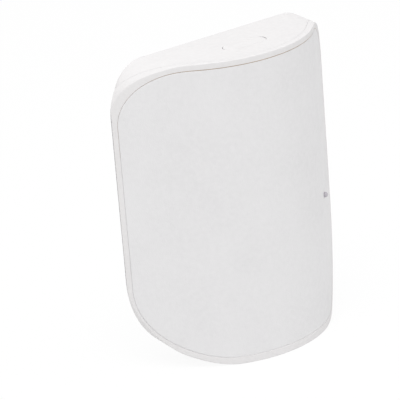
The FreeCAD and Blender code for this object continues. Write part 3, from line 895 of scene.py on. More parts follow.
@dataclass(frozen=True)
class Window:
    """The curved lens window in the bezel's rebate, with lens zones on its back."""

    soft: float = 0.11
    face_inset: float = 0.4
    step: float = 1.1
    columns: int = 5
    rows: int = 4
    zone_width: float = 9.0
    zone_height: float = 10.0
    zone_gap: float = 0.6
    zone_depth: float = 0.45
    zone_root: float = 0.1
    ring_width: float = 0.6
    groove: float = 0.12
    groove_ways: tuple[int, ...] = (-1, -1, 1, -1, 1, -1)
    # The fill in the gap round the pane; above the split height it is tan painted shade of the
    # gap.
    gap_fill_depth: float = 0.06
    gap_fill_foot: float = 0.7
    gap_fill_lap: float = 0.05
    painted_shade_split: float = 72.0

    def build(self, form: CaseForm, guide: "LightGuide", shop: Workshop) -> None:
        """Builds the pane and its zones flat, slices them and bends them round the nose.

        Args:
            form: the case's outer wall.
            guide: the light guide, whose hole is cut.
            shop: the workshop that finishes the pieces.
        """
        size, soft = SIZES, self.soft
        edge = form.rim.inset(size.window_gap, size.window_gap_head, size.window_gap_foot)
        near, far = size.window_flush, size.window_flush + size.window_thickness
        bm = skin([edge.inset(soft + self.face_inset).at(near), *edge.rounded(near, soft),
                   edge.at(far - soft), edge.inset(soft).at(far)])
        for column in range(self.columns):
            for row in range(self.rows):
                join(bm, self._zone(column, row, far))
        slice_across(bm, size.half_width, self.step)
        for vert in bm.verts:
            vert.co.y = size.pane_y(vert.co.x, vert.co.y)
        bmesh.ops.recalc_face_normals(bm, faces=bm.faces)
        shop.piece("window", bm, "window_plastic", ["front_window"], cutters=[guide.hole()])
        self._gap_fill(form, edge, shop)

    def _gap_fill(self, form: CaseForm, edge: Outline, shop: Workshop) -> None:
        """The fill in the gap round the pane: painted shade in tan at the head, a white lip below.

        Args:
            form: the case's outer wall.
            edge: the pane's outline, which lies inside the rim's.
            shop: the workshop that finishes the pieces.
        """
        near, far = SIZES.window_flush + self.gap_fill_depth, SIZES.window_flush + self.gap_fill_foot
        pane = edge.inset(self.gap_fill_lap)
        # Above the split height the fill is tan painted shade, as dark as the gap lies under the
        # rim; below it is plain white.
        for name, slot, finish, way in (("window_head_shade", "plunger_plastic", "painted_seam_shade", -1),
                                        ("window_lip", "body_plastic", "", 1)):
            bm = skin([form.rim.bent(near), form.rim.bent(far), pane.bent(far), pane.bent(near)],
                      ring=True)
            rims = cut_along(bm, (0, 0, self.painted_shade_split), (0, 0, way), clear=True)
            bmesh.ops.holes_fill(bm, edges=rims, sides=0)
            bmesh.ops.recalc_face_normals(bm, faces=bm.faces)
            shop.piece(name, bm, slot, [], finish=finish)

    def _zone(self, column: int, row: int, depth: float) -> BMesh:
        """One lens zone as a low block with stepped grooves in its back.

        Args:
            column: which column it stands in, from the left.
            row: which row it stands in, from the foot.
            depth: how deep the pane's back lies.

        Returns:
            The zone as a flat new mesh.
        """
        across = (column - (self.columns - 1) / 2) * (self.zone_width + self.zone_gap)
        rise = (row - (self.rows - 1) / 2) * (self.zone_height + self.zone_gap)
        level, half, tall = SIZES.sensor_level + rise, self.zone_width / 2, self.zone_height / 2
        bm = block((across - half, depth - self.zone_root, level - tall),
                   (across + half, depth + self.zone_depth, level + tall))
        face = max(bm.faces, key=lambda item: item.calc_center_median().y)
        for way in self.groove_ways:
            bmesh.ops.inset_region(bm, faces=[face], thickness=self.ring_width,
                                   use_even_offset=True)
            bmesh.ops.translate(bm, vec=(0, way * self.groove, 0), verts=face.verts)
        return bm


@dataclass(frozen=True)
class LightGuide:
    """The clear rod whose bead of a tip stands proud of the window."""

    x: float = 26.4
    level: float = 43.4
    radius: float = 1.1
    bead: float = 0.88
    bead_rise: float = 0.4
    gap: float = 0.05
    chamfer: float = 0.1
    flare: float = 0.08
    cutter_end: float = -40.0
    foot: float = -10.72
    steps: int = 36

    def _flat(self, radius: float, y: float) -> Loop:
        """A round loop in the plane of a given Y."""
        return turned_loop(Vector((self.x, 0, self.level)), radius, y, steps=self.steps)

    def _ring(self, radius: float, depth: float) -> Loop:
        """A round loop on the surface that far below the outer skin."""
        return [Vector((point.x, SIZES.pane_y(point.x, depth), point.z))
                for point in self._flat(radius, 0)]

    def hole(self) -> BMesh:
        """The cutter for the window's hole.

        Returns:
            A closed cutter with a flared mouth.
        """
        flush, narrow = SIZES.window_flush, self.radius + self.gap
        wide = narrow + self.flare
        return skin([self._flat(narrow, 0), self._ring(narrow, flush + self.chamfer),
                     self._ring(wide, flush), self._flat(wide, self.cutter_end)])

    def build(self, shop: Workshop) -> None:
        """Builds the rod and the bead at its end.

        Args:
            shop: the workshop that finishes the pieces.
        """
        flush, foot, chamfer = SIZES.window_flush, self.foot, self.chamfer
        wide, narrow = self.radius, self.radius - chamfer
        bm = skin([self._flat(narrow, foot), self._flat(wide, foot - chamfer),
                   self._ring(wide, flush + chamfer), self._ring(narrow, flush)])
        bead = bmesh.new()
        bmesh.ops.create_uvsphere(bead, u_segments=32, v_segments=20, radius=self.bead)
        turn = asin(self.x / SIZES.nose_radius)
        place = Vector((self.x, SIZES.pane_y(self.x, flush), self.level))
        place += Vector((sin(turn), -cos(turn), 0)) * self.bead_rise
        bmesh.ops.translate(bead, vec=place, verts=bead.verts)
        join(bm, bead)
        shop.piece("guide_rod", bm, "clear_plastic", ["light_guide"])


@dataclass(frozen=True)
class BatteryDoor:
    """The lid of the battery bay, with a finger hollow and grip ribs."""

    lap: float = 1.6
    gap: float = 0.2
    thickness: float = 1.4
    corner: float = 0.8
    soft: float = 0.18
    mouth_edge: float = 0.15
    mouth_depth: float = 2.0
    finger_radius: float = 7.0
    finger_depth: float = 0.8
    finger_height: float = 7.0
    finger_edge: float = 0.3
    finger_room: float = 6.0
    ribs: int = 4
    rib_start: float = 1.4
    rib_pitch: float = 1.5
    rib_height: float = 0.55
    rib_half: float = 2.4
    rib_rise: float = 0.45
    rib_root: float = 0.1
    rib_soft: float = 0.12

    def outline(self, grow: float) -> Outline:
        """The bay's opening, grown all round.

        Args:
            grow: how far it is moved outwards.

        Returns:
            The outline.
        """
        size = SIZES
        return plate_outline(size.bay_half + grow, size.bay_foot - grow, size.bay_head + grow,
                             self.corner)

    def seats(self) -> list[BMesh]:
        """Cutters for the lap that the door lies in and for the bay's mouth behind it.

        Returns:
            The two cutters.
        """
        mouth = self.outline(0)
        return [mouth_cutter(self.outline(self.lap), self.mouth_edge, self.thickness),
                skin([mouth.at(BEYOND), mouth.at(-SIZES.back_wall - self.mouth_depth)])]

    def build(self, shop: Workshop) -> None:
        """Builds the stepped lid, its hollow and its ribs.

        Args:
            shop: the workshop that finishes the pieces.
        """
        soft, wall = self.soft, SIZES.back_wall
        lid, step = self.outline(self.lap - self.gap), self.outline(-self.gap)
        bm = skin([*lid.rounded(0, soft, -1), lid.at(-self.thickness), step.at(-self.thickness),
                   step.at(-wall + soft), step.inset(soft).at(-wall)])
        radius, foot = self.finger_radius, SIZES.bay_head - self.finger_height
        hollow = turned(Vector((0, radius - self.finger_depth, 0)), [
            (radius - self.finger_edge, foot), (radius, foot + self.finger_edge),
            (radius, SIZES.bay_head + self.finger_room)], Axis.ALONG_Z, steps=96)
        shop.piece("bay_door", bm, "body_plastic", ["battery_door"], cutters=[hollow])
        grip = bmesh.new()
        for index in range(self.ribs):
            level = foot + self.rib_start + index * self.rib_pitch
            join(grip, block((-self.rib_half, -self.finger_depth - self.rib_root, level),
                             (self.rib_half, -self.finger_depth + self.rib_rise,
                              level + self.rib_height), self.rib_soft))
        shop.piece("door_grip", grip, "body_plastic", ["battery_door"])


@dataclass(frozen=True)
class Housing:
    """The flat-backed housing behind the bezel: shell, battery bay, board bosses and openings."""

    bend_steps: int = 7
    back_edge: float = 0.4
    boss_radius: float = 3.0
    boss_spread: float = 21.0
    boss_low: float = 39.0
    boss_high: float = 90.0
    back_share: float = 0.8
    pilot_radius: float = 1.3
    centre_radius: float = 0.2
    boss_soft: float = 0.2
    boss_root: float = -1.0
    gusset_inside: float = 0.3
    gusset_reach: float = 1.3
    gusset_half: float = 0.4
    gusset_levels: tuple[float, float, float] = (-5.0, -2.4, -1.5)
    gusset_soft: float = 0.1
    bay_mouth: float = -1.5
    bay_soft: float = 0.4
    bay_outer_soft: float = 0.5
    bay_rib: tuple[float, float, float, float] = (20.0, 0.4, 0.1, 3.2)
    rib_soft: float = 0.15
    slot_place: float = 13.0
    slot_half: float = 3.65
    slot_foot: float = 73.45
    slot_head: float = 78.75
    slot_corner: float = 0.4
    hole_edge: float = 0.2
    hole_depth: float = 4.0
    pin_level: float = 87.0
    pin_hole: float = 1.75

    def build(self, form: CaseForm, door: BatteryDoor, button: "PushButton", tabs: SnapTabs,
              shop: Workshop) -> None:
        """Builds the shell and cuts its openings, then adds the bay and the bosses.

        Args:
            form: the case's outer wall.
            door: the battery door, whose seat is cut.
            button: the push button, whose hole is cut.
            tabs: the bezel's tabs, whose pockets are cut.
            shop: the workshop that finishes the pieces.
        """
        size = SIZES
        depth = size.bezel_wall + size.seam_gap
        near, far = -size.side_depth, -size.corner_blend
        bends = [near + (far - near) * step / self.bend_steps
                 for step in range(self.bend_steps + 1)]
        bm = skin([
            self._back(form, depth),
            form.wall_loop(-self.back_edge, depth),
            *(form.wall_loop(level, depth) for level in bends),
            form.wall_loop(-size.nose_depth, depth),
            *self._cavity(form, depth),
        ])
        cutters = [button.hole(), *door.seats(), *self._slots(), self._pin_hole(), *tabs.pockets()]
        shop.piece("housing", bm, "body_plastic", ["rear_housing"], cutters=cutters, sharp=30)
        inside = bmesh.new()
        self._bay(inside, door)
        self._bosses(inside)
        shop.piece("housing_bay", inside, "body_plastic", ["rear_housing"])

    def _back(self, form: CaseForm, depth: float) -> Loop:
        """The back face's loop, inside a small rounding.

        Args:
            form: the case's outer wall.
            depth: how far below the outer skin the surface lies.

        Returns:
            The loop.
        """
        reach = SIZES.front_x(0, depth) - self.back_edge * EASE
        return [Vector((kept_within(point.x, reach), 0, point.z))
                for point in form.back.inset(self.back_edge * self.back_share).points()]

    @staticmethod
    def _cavity(form: CaseForm, depth: float) -> list[Loop]:
        """The cavity's mouth, kept ahead of its floor, and the floor.

        Args:
            form: the case's outer wall.
            depth: how far below the outer skin the surface lies.

        Returns:
            The two loops, the mouth first.
        """
        wall = SIZES.back_wall
        reach = SIZES.front_x(-wall, depth)
        places = [(kept_within(point.x, reach), point.z)
                  for point in form.front.inset(SIZES.plate_wall).points()]
        return [[Vector((x, SIZES.front_y(x, depth), z)) for x, z in places],
                [Vector((x, -wall, z)) for x, z in places]]

    def _bay(self, target: BMesh, door: BatteryDoor) -> None:
        """Adds the battery bay as a cup that opens at the back.

        Args:
            target: the mesh that takes the new parts.
            door: the battery door, whose outline the bay follows.
        """
        size, soft, outer_soft, mouth = SIZES, self.bay_soft, self.bay_outer_soft, self.bay_mouth
        inner, outer = door.outline(0), door.outline(0).inset(-size.bay_wall)
        floor, wall = -size.bay_depth, -size.bay_depth - size.bay_wall
        join(target, skin([
            inner.inset(soft).at(floor), inner.at(floor + soft), inner.at(mouth), outer.at(mouth),
            outer.at(wall + outer_soft), outer.inset(outer_soft).at(wall)]))
        middle = size.bay_foot + size.bay_height / 2
        reach, half, root, rise = self.bay_rib
        join(target, block((-reach, floor - root, middle - half),
                           (reach, floor + rise, middle + half), self.rib_soft))

    def _bosses(self, target: BMesh) -> None:
        """Adds the board's four bosses, two of them bored for screws, with small gussets.

        Args:
            target: the mesh that takes the new parts.
        """
        radius, soft = self.boss_radius, self.boss_soft
        top, root = -SIZES.board_back, self.boss_root
        for way in SIDES:
            for level in (self.boss_low, self.boss_high):
                middle = Vector((way * self.boss_spread, 0, level))
                bored = (way < 0) == (level == self.boss_high)
                core = self.pilot_radius if bored else self.centre_radius
                join(target, turned(middle, [
                    (core, -SIZES.back_wall - soft), (core, top + soft), (core + soft, top),
                    (radius - soft, top), (radius, top + soft), (radius, root), (core, root)],
                    ring=True))
                for x, z in ((1, 0), (0, 1), (-1, 0), (0, -1)):
                    self._gusset(target, middle, Vector((x, 0, z)))

    def _gusset(self, target: BMesh, middle: Vector, across: Vector) -> None:
        """Adds one low web at a boss's foot.

        Args:
            target: the mesh that takes the new parts.
            middle: the boss's middle, on the back face.
            across: the way in which the web runs from the boss.
        """
        start = middle + across * (self.boss_radius - self.gusset_inside)
        end = middle + across * (self.boss_radius + self.gusset_reach)
        side = Vector((across.z, 0, across.x)) * self.gusset_half
        corners = [place + way * side for place in (start, end) for way in SIDES]
        low, high = Vector(map(min, *corners)), Vector(map(max, *corners))
        top, slope, root = self.gusset_levels
        web = block((low.x, top, low.z), (high.x, root, high.z))
        for vert in web.verts:
            if vert.co.y < slope and (vert.co - middle).dot(across) > self.boss_radius:
                vert.co.y = slope
        bevel_all(web, self.gusset_soft)
        join(target, web)

    def _slots(self) -> list[BMesh]:
        """Cutters for the two slots that the bracket's hooks pass through.

        Returns:
            The two cutters.
        """
        edge = plate_outline(self.slot_half, self.slot_foot, self.slot_head, self.slot_corner,
                             curved=4)
        slots = [mouth_cutter(edge, self.hole_edge, self.hole_depth) for _ in SIDES]
        for way, slot in zip(SIDES, slots):
            bmesh.ops.translate(slot, vec=(way * self.slot_place, 0, 0), verts=slot.verts)
        return slots

    def _pin_hole(self) -> BMesh:
        """The cutter for the tamper pin's hole.

        Returns:
            The cutter.
        """
        narrow, wide = self.pin_hole, self.pin_hole + self.hole_edge
        return turned(Vector((0, 0, self.pin_level)), [
            (narrow, -self.hole_depth), (narrow, -self.hole_edge), (wide, 0.0),
            (wide, 2 * BEYOND)])


@dataclass(frozen=True)
class PushButton:
    """The crowned pill button in the top face, and the stem that works its switch."""

    place: float = 15.9
    length: float = 16.0
    width: float = 6.2
    gap: float = 0.05
    end_gap: float = 0.35
    end_power: int = 4
    crown: float = 0.12
    crown_power: int = 12
    lip: float = 1.2
    lip_height: float = 1.0
    rest_gap: float = 0.1
    stem_radius: float = 1.8
    stem_foot: float = 90.8
    stem_soft: float = 0.2
    stem_root: float = 0.5
    hole_depth: float = 4.0
    hole_rise: float = 3.0
    slice: float = 0.5
    soft: float = 0.06

    def _loop(self, level: float, grow: float = 0.0, longer: float = 0.0,
              steps: int = 24) -> Loop:
        """A stadium's points at one level.

        Args:
            level: the Z of every point.
            grow: how far the loop is moved outwards.
            longer: how far each end's tip is drawn out besides.
            steps: how many steps each round end has.

        Returns:
            The loop's points.
        """
        radius = self.width / 2 + grow
        reach = (self.length - self.width) / 2
        points = []
        for way, start in ((1, -90), (-1, 90)):
            for step in range(steps + 1):
                turn = radians(start + 180 * step / steps)
                across = cos(turn)
                tip = longer * across ** self.end_power
                points.append(Vector((way * (reach + tip) + radius * across,
                                      radius * sin(turn) - self.place, level)))
        return points

    def hole(self) -> BMesh:
        """The cutter for the hole in the housing's top plate, wider at the button's ends.

        Returns:
            The cutter.
        """
        top, longer, wide = SIZES.height, self.end_gap - self.gap, self.gap + self.soft
        return skin([self._loop(level, grow, longer) for level, grow in (
            (top - self.hole_depth, self.gap), (top - self.soft, self.gap), (top, wide),
            (top + self.hole_rise, wide))])

    def build(self, shop: Workshop) -> None:
        """Builds the cap, crowns it and adds the lip and the stem.

        Args:
            shop: the workshop that finishes the pieces.
        """
        top, soft, eased = SIZES.height, self.soft, self.soft * EASE
        foot = top - SIZES.plate_wall - self.lip_height - self.rest_gap
        bm = skin([self._loop(level, grow) for level, grow in (
            (foot, self.lip), (foot + self.lip_height, self.lip), (foot + self.lip_height, 0),
            (top - soft, 0), (top - eased, -eased), (top, -soft))])
        slice_across(bm, self.length / 2, self.slice)
        for vert in bm.verts:
            if vert.co.z > top - 2 * soft:
                vert.co.z -= self.crown * abs(2 * vert.co.x / self.length) ** self.crown_power
        radius, edge = self.stem_radius, self.stem_soft
        join(bm, turned(Vector((0, -self.place, 0)), [
            (radius - edge, self.stem_foot), (radius, self.stem_foot + edge),
            (radius, foot + self.stem_root)], Axis.ALONG_Z))
        shop.piece("pill_button", bm, "button_plastic", ["top_button"], Body.PUSH_BUTTON)


@dataclass(frozen=True)
class WallBracket:
    """The wall plate with its two hooks and two countersunk screw holes."""

    front: float = 0.3
    back: float = 2.7
    half_width: float = 29.0
    foot: float = 10.0
    head: float = 90.0
    corner: float = 7.0
    soft: float = 0.35
    hook_place: float = 13.0
    hook_half: float = 3.5
    hook_level: float = 77.0
    hook_thickness: float = 1.6
    hook_rise: float = 3.4
    hook_reach: float = 3.75
    hook_root: float = 1.2
    hook_soft: tuple[float, float] = (0.2, 0.3)
    hole_radius: float = 2.1
    sink_radius: float = 4.0
    sink_edge: float = 0.3
    sink_lip: float = 0.01
    sink_depth: float = 0.2
    holes: tuple[float, float] = (20.0, 80.0)
    hollow: Outline = plate_outline(19.0, 32.0, 68.0, 4.0)
    hollow_depths: tuple[float, float] = (0.3, 0.7)
    hollow_slope: float = 0.4

    def build(self, shop: Workshop) -> None:
        """Builds the plate, cuts its holes and its hollow, and adds the hooks.

        Args:
            shop: the workshop that finishes the pieces.
        """
        edge = plate_outline(self.half_width, self.foot, self.head, self.corner, 4, 12)
        bm = skin([*edge.rounded(self.front, self.soft),
                   *reversed(edge.rounded(self.back, self.soft, -1))])
        cutters = [self._hole(level) for level in self.holes] + [self._hollow()]
        shop.piece("wall_plate", bm, "body_plastic", ["wall_bracket"], cutters=cutters)
        hooks = bmesh.new()
        end, level, thickness = -self.hook_reach, self.hook_level, self.hook_thickness
        arm_soft, tip_soft = self.hook_soft
        for way in SIDES:
            low = way * self.hook_place - self.hook_half
            high = way * self.hook_place + self.hook_half
            join(hooks,
                 block((low, end, level),
                       (high, self.front + self.hook_root, level + thickness), arm_soft),
                 block((low, end, level),
                       (high, thickness + end, level + thickness + self.hook_rise), tip_soft))
        shop.piece("bracket_hooks", hooks, "body_plastic", ["wall_bracket"])

    def _hole(self, level: float) -> BMesh:
        """The cutter for one countersunk hole.

        Args:
            level: the height of its middle.

        Returns:
            The cutter.
        """
        wide, sink = self.sink_radius + self.sink_edge, self.sink_radius - self.hole_radius
        return turned(Vector((0, self.front, level)), [
            (wide, -BEYOND), (wide, -self.sink_lip), (self.sink_radius, self.sink_depth),
            (self.hole_radius, sink), (self.hole_radius, 4 * BEYOND)], steps=48)

    def _hollow(self) -> BMesh:
        """The cutter for the shallow hollow in the plate's front, between the screws.

        Returns:
            The cutter.
        """
        ledge, floor = self.hollow_depths
        return skin([self.hollow.at(self.front - BEYOND), self.hollow.at(self.front + ledge),
                     self.hollow.inset(self.hollow_slope).at(self.front + floor)])


@dataclass(frozen=True)
class Cells:
    """The two dry cells: a printed jacket without words, and bare steel ends.

    Each profile is a row of steps: how far in from the full radius, which end it is measured
    from (-1 or 1), and how far in from that end of the can.
    """

    radius: float = 5.25
    half_length: float = 21.75
    pitch: float = 11.6
    gap: float = 0.3
    jacket: tuple[tuple[float, int, float], ...] = (
        (0.9, -1, 0.25), (0.35, -1, 0.05), (0.1, -1, 0.15), (0, -1, 0.4), (0, 1, 0.5),
        (0.1, 1, 0.2), (0.4, 1, 0.1), (0.9, 1, 0.3))
    minus_cap: tuple[tuple[float, int, float], ...] = (
        (1.5, -1, 0.6), (0.8, -1, 0.5), (0.8, -1, 0.15), (1.1, -1, 0), (3.85, -1, 0),
        (4.15, -1, 0.12))
    plus_cap: tuple[tuple[float, int, float], ...] = (
        (0.8, 1, 0.6), (0.8, 1, 0.25), (1.2, 1, 0.1), (3.1, 1, 0.1), (3.35, 1, -0.1),
        (3.35, 1, -0.75), (3.6, 1, -1))

    def build(self, shop: Workshop) -> None:
        """Builds both cells, the upper one the other way round.

        Args:
            shop: the workshop that finishes the pieces.
        """
        for row, (name, way) in enumerate((("lower", 1), ("upper", -1))):
            level = SIZES.bay_foot + self.gap + self.radius + row * self.pitch
            middle = Vector((0, -SIZES.back_wall - self.gap - self.radius, level))
            node = [f"battery_cell_{name}"]
            shop.piece(f"cell_jacket_{name}", self._turned(middle, way, self.jacket, 64),
                       "cell_wrap", node)
            caps = self._turned(middle, way, self.minus_cap, 48)
            join(caps, self._turned(middle, way, self.plus_cap, 48))
            shop.piece(f"cell_ends_{name}", caps, "contact_steel", node)

    def _turned(self, middle: Vector, way: int, profile: Iterable[tuple[float, int, float]],
                steps: int) -> BMesh:
        """One turned skin of a cell that points along X where way is 1, and back where -1.

        Args:
            middle: the middle of the cell.
            way: which way along X it points.
            profile: the steps of the skin's profile.
            steps: how many points each of its loops has.

        Returns:
            The skin as a new mesh.
        """
        return turned(middle, [
            (self.radius - inwards, way * end * (self.half_length - short))
            for inwards, end, short in profile], Axis.ALONG_X, steps=steps)


@dataclass(frozen=True)
class BoardFittings:
    """The small parts on the board that show their form: screws, sensor can and collar."""

    screw_radius: float = 1.2
    head_radius: float = 2.3
    head_height: float = 1.4
    screw_length: float = 5.0
    shaft_soft: float = 0.3
    tip: tuple[float, float] = (0.5, 1.2)
    dome: tuple[tuple[float, float], ...] = ((1.0, 0.4), (0.9, 0.75), (0.7, 0.93), (0.4, 1.0))
    recess_half: tuple[float, float] = (1.3, 0.25)
    recess_floor: float = 0.6
    recess_top: float = 2.0
    can_radius: float = 4.1
    can_height: float = 3.8
    flange_radius: float = 4.6
    flange_height: float = 0.5
    pocket_half: tuple[float, float] = (1.7, 2.2)
    pocket_depth: float = 0.3
    boot_radius: float = 6.6
    boot_bore: float = 4.7
    boot_height: float = 5.6
    boot_roll: float = 0.5
    soft: float = 0.1

    def build(self, housing: Housing, shop: Workshop) -> None:
        """Builds the screws, the sensor and its collar.

        Args:
            housing: the housing, whose bosses the board lies on.
            shop: the workshop that finishes the pieces.
        """
        self._screws(housing, shop)
        self._sensor(shop)
        self._boot(shop)

    def _screws(self, housing: Housing, shop: Workshop) -> None:
        """Two pan-head screws with cross recesses.

        Args:
            housing: the housing, whose bosses the board lies on.
            shop: the workshop that finishes the pieces.
        """
        face, shaft, head = -SIZES.board_front, self.screw_radius, self.head_radius
        tip, taper = self.tip
        bm, cutters = bmesh.new(), []
        for way, level in ((-1, housing.boss_high), (1, housing.boss_low)):
            middle = Vector((way * housing.boss_spread, face, level))
            join(bm, turned(middle, [
                (self.shaft_soft, self.screw_length),
                (shaft - self.shaft_soft, self.screw_length - tip),
                (shaft, self.screw_length - taper), (shaft, 0), (head, 0),
                *((head * across, -self.head_height * rise) for across, rise in self.dome)]))
            for half_x, half_z in (self.recess_half, self.recess_half[::-1]):
                cutters.append(block(
                    (middle.x - half_x, face - self.recess_top, level - half_z),
                    (middle.x + half_x, face - self.recess_floor, level + half_z)))
        shop.piece("pan_screws", bm, "plated_steel", ["board_screws"], cutters=cutters)

    def _sensor(self, shop: Workshop) -> None:
        """The infrared sensor's can on its flange.

        Args:
            shop: the workshop that finishes the pieces.
        """
        face, level, soft = -SIZES.board_front, SIZES.sensor_level, self.soft
        can, flange, top = self.can_radius, self.flange_radius, self.can_height
        step = -self.flange_height
        bm = turned(Vector((0, face, level)), [
            (flange, 0), (flange, step + soft), (flange - soft, step), (can + 2 * soft, step),
            (can, step - 2 * soft), (can, 5 * soft - top), (can - 1.5 * soft, 1.5 * soft - top),
            (can - 5 * soft, -top)], steps=56)
        half_x, half_z = self.pocket_half
        pocket = block((-half_x, face - top - BEYOND, level - half_z),
                       (half_x, face - top + self.pocket_depth, level + half_z))
        shop.piece("sensor_can", bm, "plated_steel", ["pyro_sensor"], cutters=[pocket])

    def _boot(self, shop: Workshop) -> None:
        """The rubber collar, with a rolled lip.

        Args:
            shop: the workshop that finishes the pieces.
        """
        outer, bore, end = self.boot_radius, self.boot_bore, -self.boot_height
        roll, eased = self.boot_roll, self.boot_roll * EASE
        bm = turned(Vector((0, -SIZES.board_front, SIZES.sensor_level)), [
            (bore, 0), (outer, 0), (outer, end + roll), (outer - eased, end + eased),
            (outer - roll, end), (bore + roll, end), (bore + eased, end + eased),
            (bore, end + roll)], ring=True, steps=56)
        shop.piece("sensor_collar", bm, "boot_rubber", ["sensor_boot"])


def fill(node: Node, values: dict[str | int, object]) -> None:
    """Sets inputs of a shader node.

    Args:
        node: the node.
        values: a value for each input, or the socket that is linked to it.
    """
    for name, value in values.items():
        if isinstance(value, NodeSocket):
            node.id_data.links.new(value, node.inputs[name])
        else:
            node.inputs[name].default_value = value


def add_node(tree: NodeTree, kind: str, values: dict[str | int, object], output: str | int = 0,
             **settings: object) -> NodeSocket:
    """Adds a shader node.

    Args:
        tree: the tree that takes it.
        kind: its type, without the prefix that all share.
        values: its inputs, as fill takes them.
        output: which of its outputs is wanted.
        settings: its other properties, set before its inputs.

    Returns:
        The output that is wanted.
    """
    node = tree.nodes.new(f"ShaderNode{kind}")
    for name, value in settings.items():
        setattr(node, name, value)
    fill(node, values)
    return node.outputs[output]


@dataclass(frozen=True)
class Finish:
    """A procedural surface: its colours, gloss and grain.

    Attributes:
        slot: its name, which is the record's material slot for all but the painted seam shade.
        color: the base colour, linear.
        shade: the colour of its darker mottling, linear.
        rough: the lowest roughness.
        rough_span: how much rougher its mottling makes it.
        grain: the kind of fine texture.
        relief: the grain's height in metres.
        metallic: 1 for bare metal.
        coat: the weight of a clear coat.
    """

    slot: str
    color: tuple[float, float, float]
    shade: tuple[float, float, float]
    rough: float
    rough_span: float
    grain: Grain
    relief: float
    metallic: float = 0.0
    coat: float = 0.0

    def material(self) -> Material:
        """Builds the material from the shared surface group.

        Returns:
            The new material.
        """
        material = bpy.data.materials.new(self.slot)
        material.use_nodes = True
        tree = material.node_tree
        surface = tree.nodes.new("ShaderNodeGroup")
        surface.node_tree = surface_group()
        fill(surface, {"Scale": self.grain.value, "Color": (*self.color, 1),
                       "Shade": (*self.shade, 1), "Rough Low": self.rough,
                       "Rough High": self.rough + self.rough_span})
        normal = add_node(tree, "Bump", {"Strength": 1.0, "Distance": self.relief,
                                         "Height": surface.outputs["Height"]})
        fill(tree.nodes["Principled BSDF"], {
            "Metallic": self.metallic, "Coat Weight": self.coat,
            "Base Color": surface.outputs["Color"],
            "Roughness": surface.outputs["Roughness"], "Normal": normal})
        return material


def surface_group() -> NodeTree:
    """The shared surface effect: fine grain, broad mottling and faint specks.

    Returns:
        A shader node group that puts out Color, Roughness and Height.
    """
    name = "moulded_surface"
    if name in bpy.data.node_groups:
        return bpy.data.node_groups[name]
    group = bpy.data.node_groups.new(name, "ShaderNodeTree")
    number, color = "NodeSocketFloat", "NodeSocketColor"
    for way, labels in (
            ("INPUT", {"Scale": number, "Color": color, "Shade": color, "Rough Low": number,
                       "Rough High": number}),
            ("OUTPUT", {"Color": color, "Roughness": number, "Height": number})):
        for label, kind in labels.items():
            group.interface.new_socket(name=label, in_out=way, socket_type=kind)
    inputs = group.nodes.new("NodeGroupInput").outputs
    outputs = group.nodes.new("NodeGroupOutput")
    place = add_node(group, "TexCoord", {}, "Object")
    grain, mottle, specks = (
        add_node(group, "TexNoise", {"Vector": place, "Scale": scale, "Detail": detail}, "Fac")
        for scale, detail in ((inputs["Scale"], 3.0), (55.0, 5.0), (700.0, 2.0)))
    blend = add_node(group, "Math", {0: mottle, 1: specks}, operation="MULTIPLY")
    share = add_node(group, "MapRange", {"Value": blend, "From Min": 0.12, "From Max": 0.42},
                     "Result")
    tint = add_node(group, "Mix", {"Factor": share, "A": inputs["Color"], "B": inputs["Shade"]},
                    "Result", data_type="RGBA")
    rough = add_node(group, "Mix", {"Factor": share, "A": inputs["Rough Low"],
                                    "B": inputs["Rough High"]}, "Result", data_type="FLOAT")
    fill(outputs, {"Color": tint, "Roughness": rough, "Height": grain})
    return group


BODY = Finish("body_plastic", (0.72, 0.708, 0.709), (0.69, 0.678, 0.68), 0.52, 0.12,
              Grain.MOULDED, 4e-5)
FINISHES = (
    BODY,
    replace(BODY, slot="window_plastic", color=(0.722, 0.716, 0.722), shade=(0.69, 0.684, 0.69),
            rough=0.46),
    replace(BODY, slot="button_plastic"),
    Finish("cell_wrap", (0.02, 0.025, 0.04), (0.03, 0.03, 0.05), 0.32, 0.1, Grain.SATIN, 1e-5),
    Finish("contact_steel", (0.62, 0.61, 0.58), (0.52, 0.51, 0.49), 0.24, 0.14, Grain.BRUSHED,
           2e-5, metallic=1.0),
    Finish("plated_steel", (0.56, 0.56, 0.55), (0.46, 0.46, 0.46), 0.3, 0.14, Grain.BRUSHED,
           2e-5, metallic=1.0),
    Finish("board_laminate", (0.012, 0.085, 0.04), (0.01, 0.06, 0.03), 0.3, 0.15, Grain.SATIN,
           1e-5, coat=0.3),
    Finish("filter_glass", (0.012, 0.008, 0.014), (0.01, 0.008, 0.012), 0.08, 0.05, Grain.SATIN,
           2e-6),
    Finish("boot_rubber", (0.018, 0.018, 0.02), (0.03, 0.03, 0.03), 0.7, 0.15, Grain.MOULDED,
           3e-5),
    Finish("clear_plastic", (0.5, 0.48, 0.515), (0.46, 0.44, 0.475), 0.3, 0.1, Grain.SATIN,
           4e-6),
    Finish("dark_plastic", (0.02, 0.02, 0.022), (0.03, 0.03, 0.03), 0.5, 0.12, Grain.MOULDED,
           2e-5),
    Finish("part_ceramic", (0.24, 0.15, 0.08), (0.2, 0.12, 0.07), 0.45, 0.12, Grain.SATIN,
           1e-5),
    Finish("plunger_plastic", (0.55, 0.52, 0.45), (0.5, 0.47, 0.41), 0.4, 0.12, Grain.MOULDED,
           1e-5),
    # Painted shade: the tan of the seam at the window's head, as dark as the gap's shade under the
    # rim.
    Finish("painted_seam_shade", (0.46, 0.34, 0.24), (0.4, 0.3, 0.21), 0.4, 0.12, Grain.SATIN, 1e-5),
)


def dress_solids(frame: dict, finishes: dict[str, Material]) -> None:
    """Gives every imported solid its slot's finish.

    Args:
        frame: what the frame's loader gave.
        finishes: the material of each slot.
    """
    slots = {part["node"]: part["material_slot"] for part in frame["record"]["subparts"]}
    for name, node in frame["nodes"].items():
        node.data.materials.clear()
        node.data.materials.append(finishes[slots[name]])


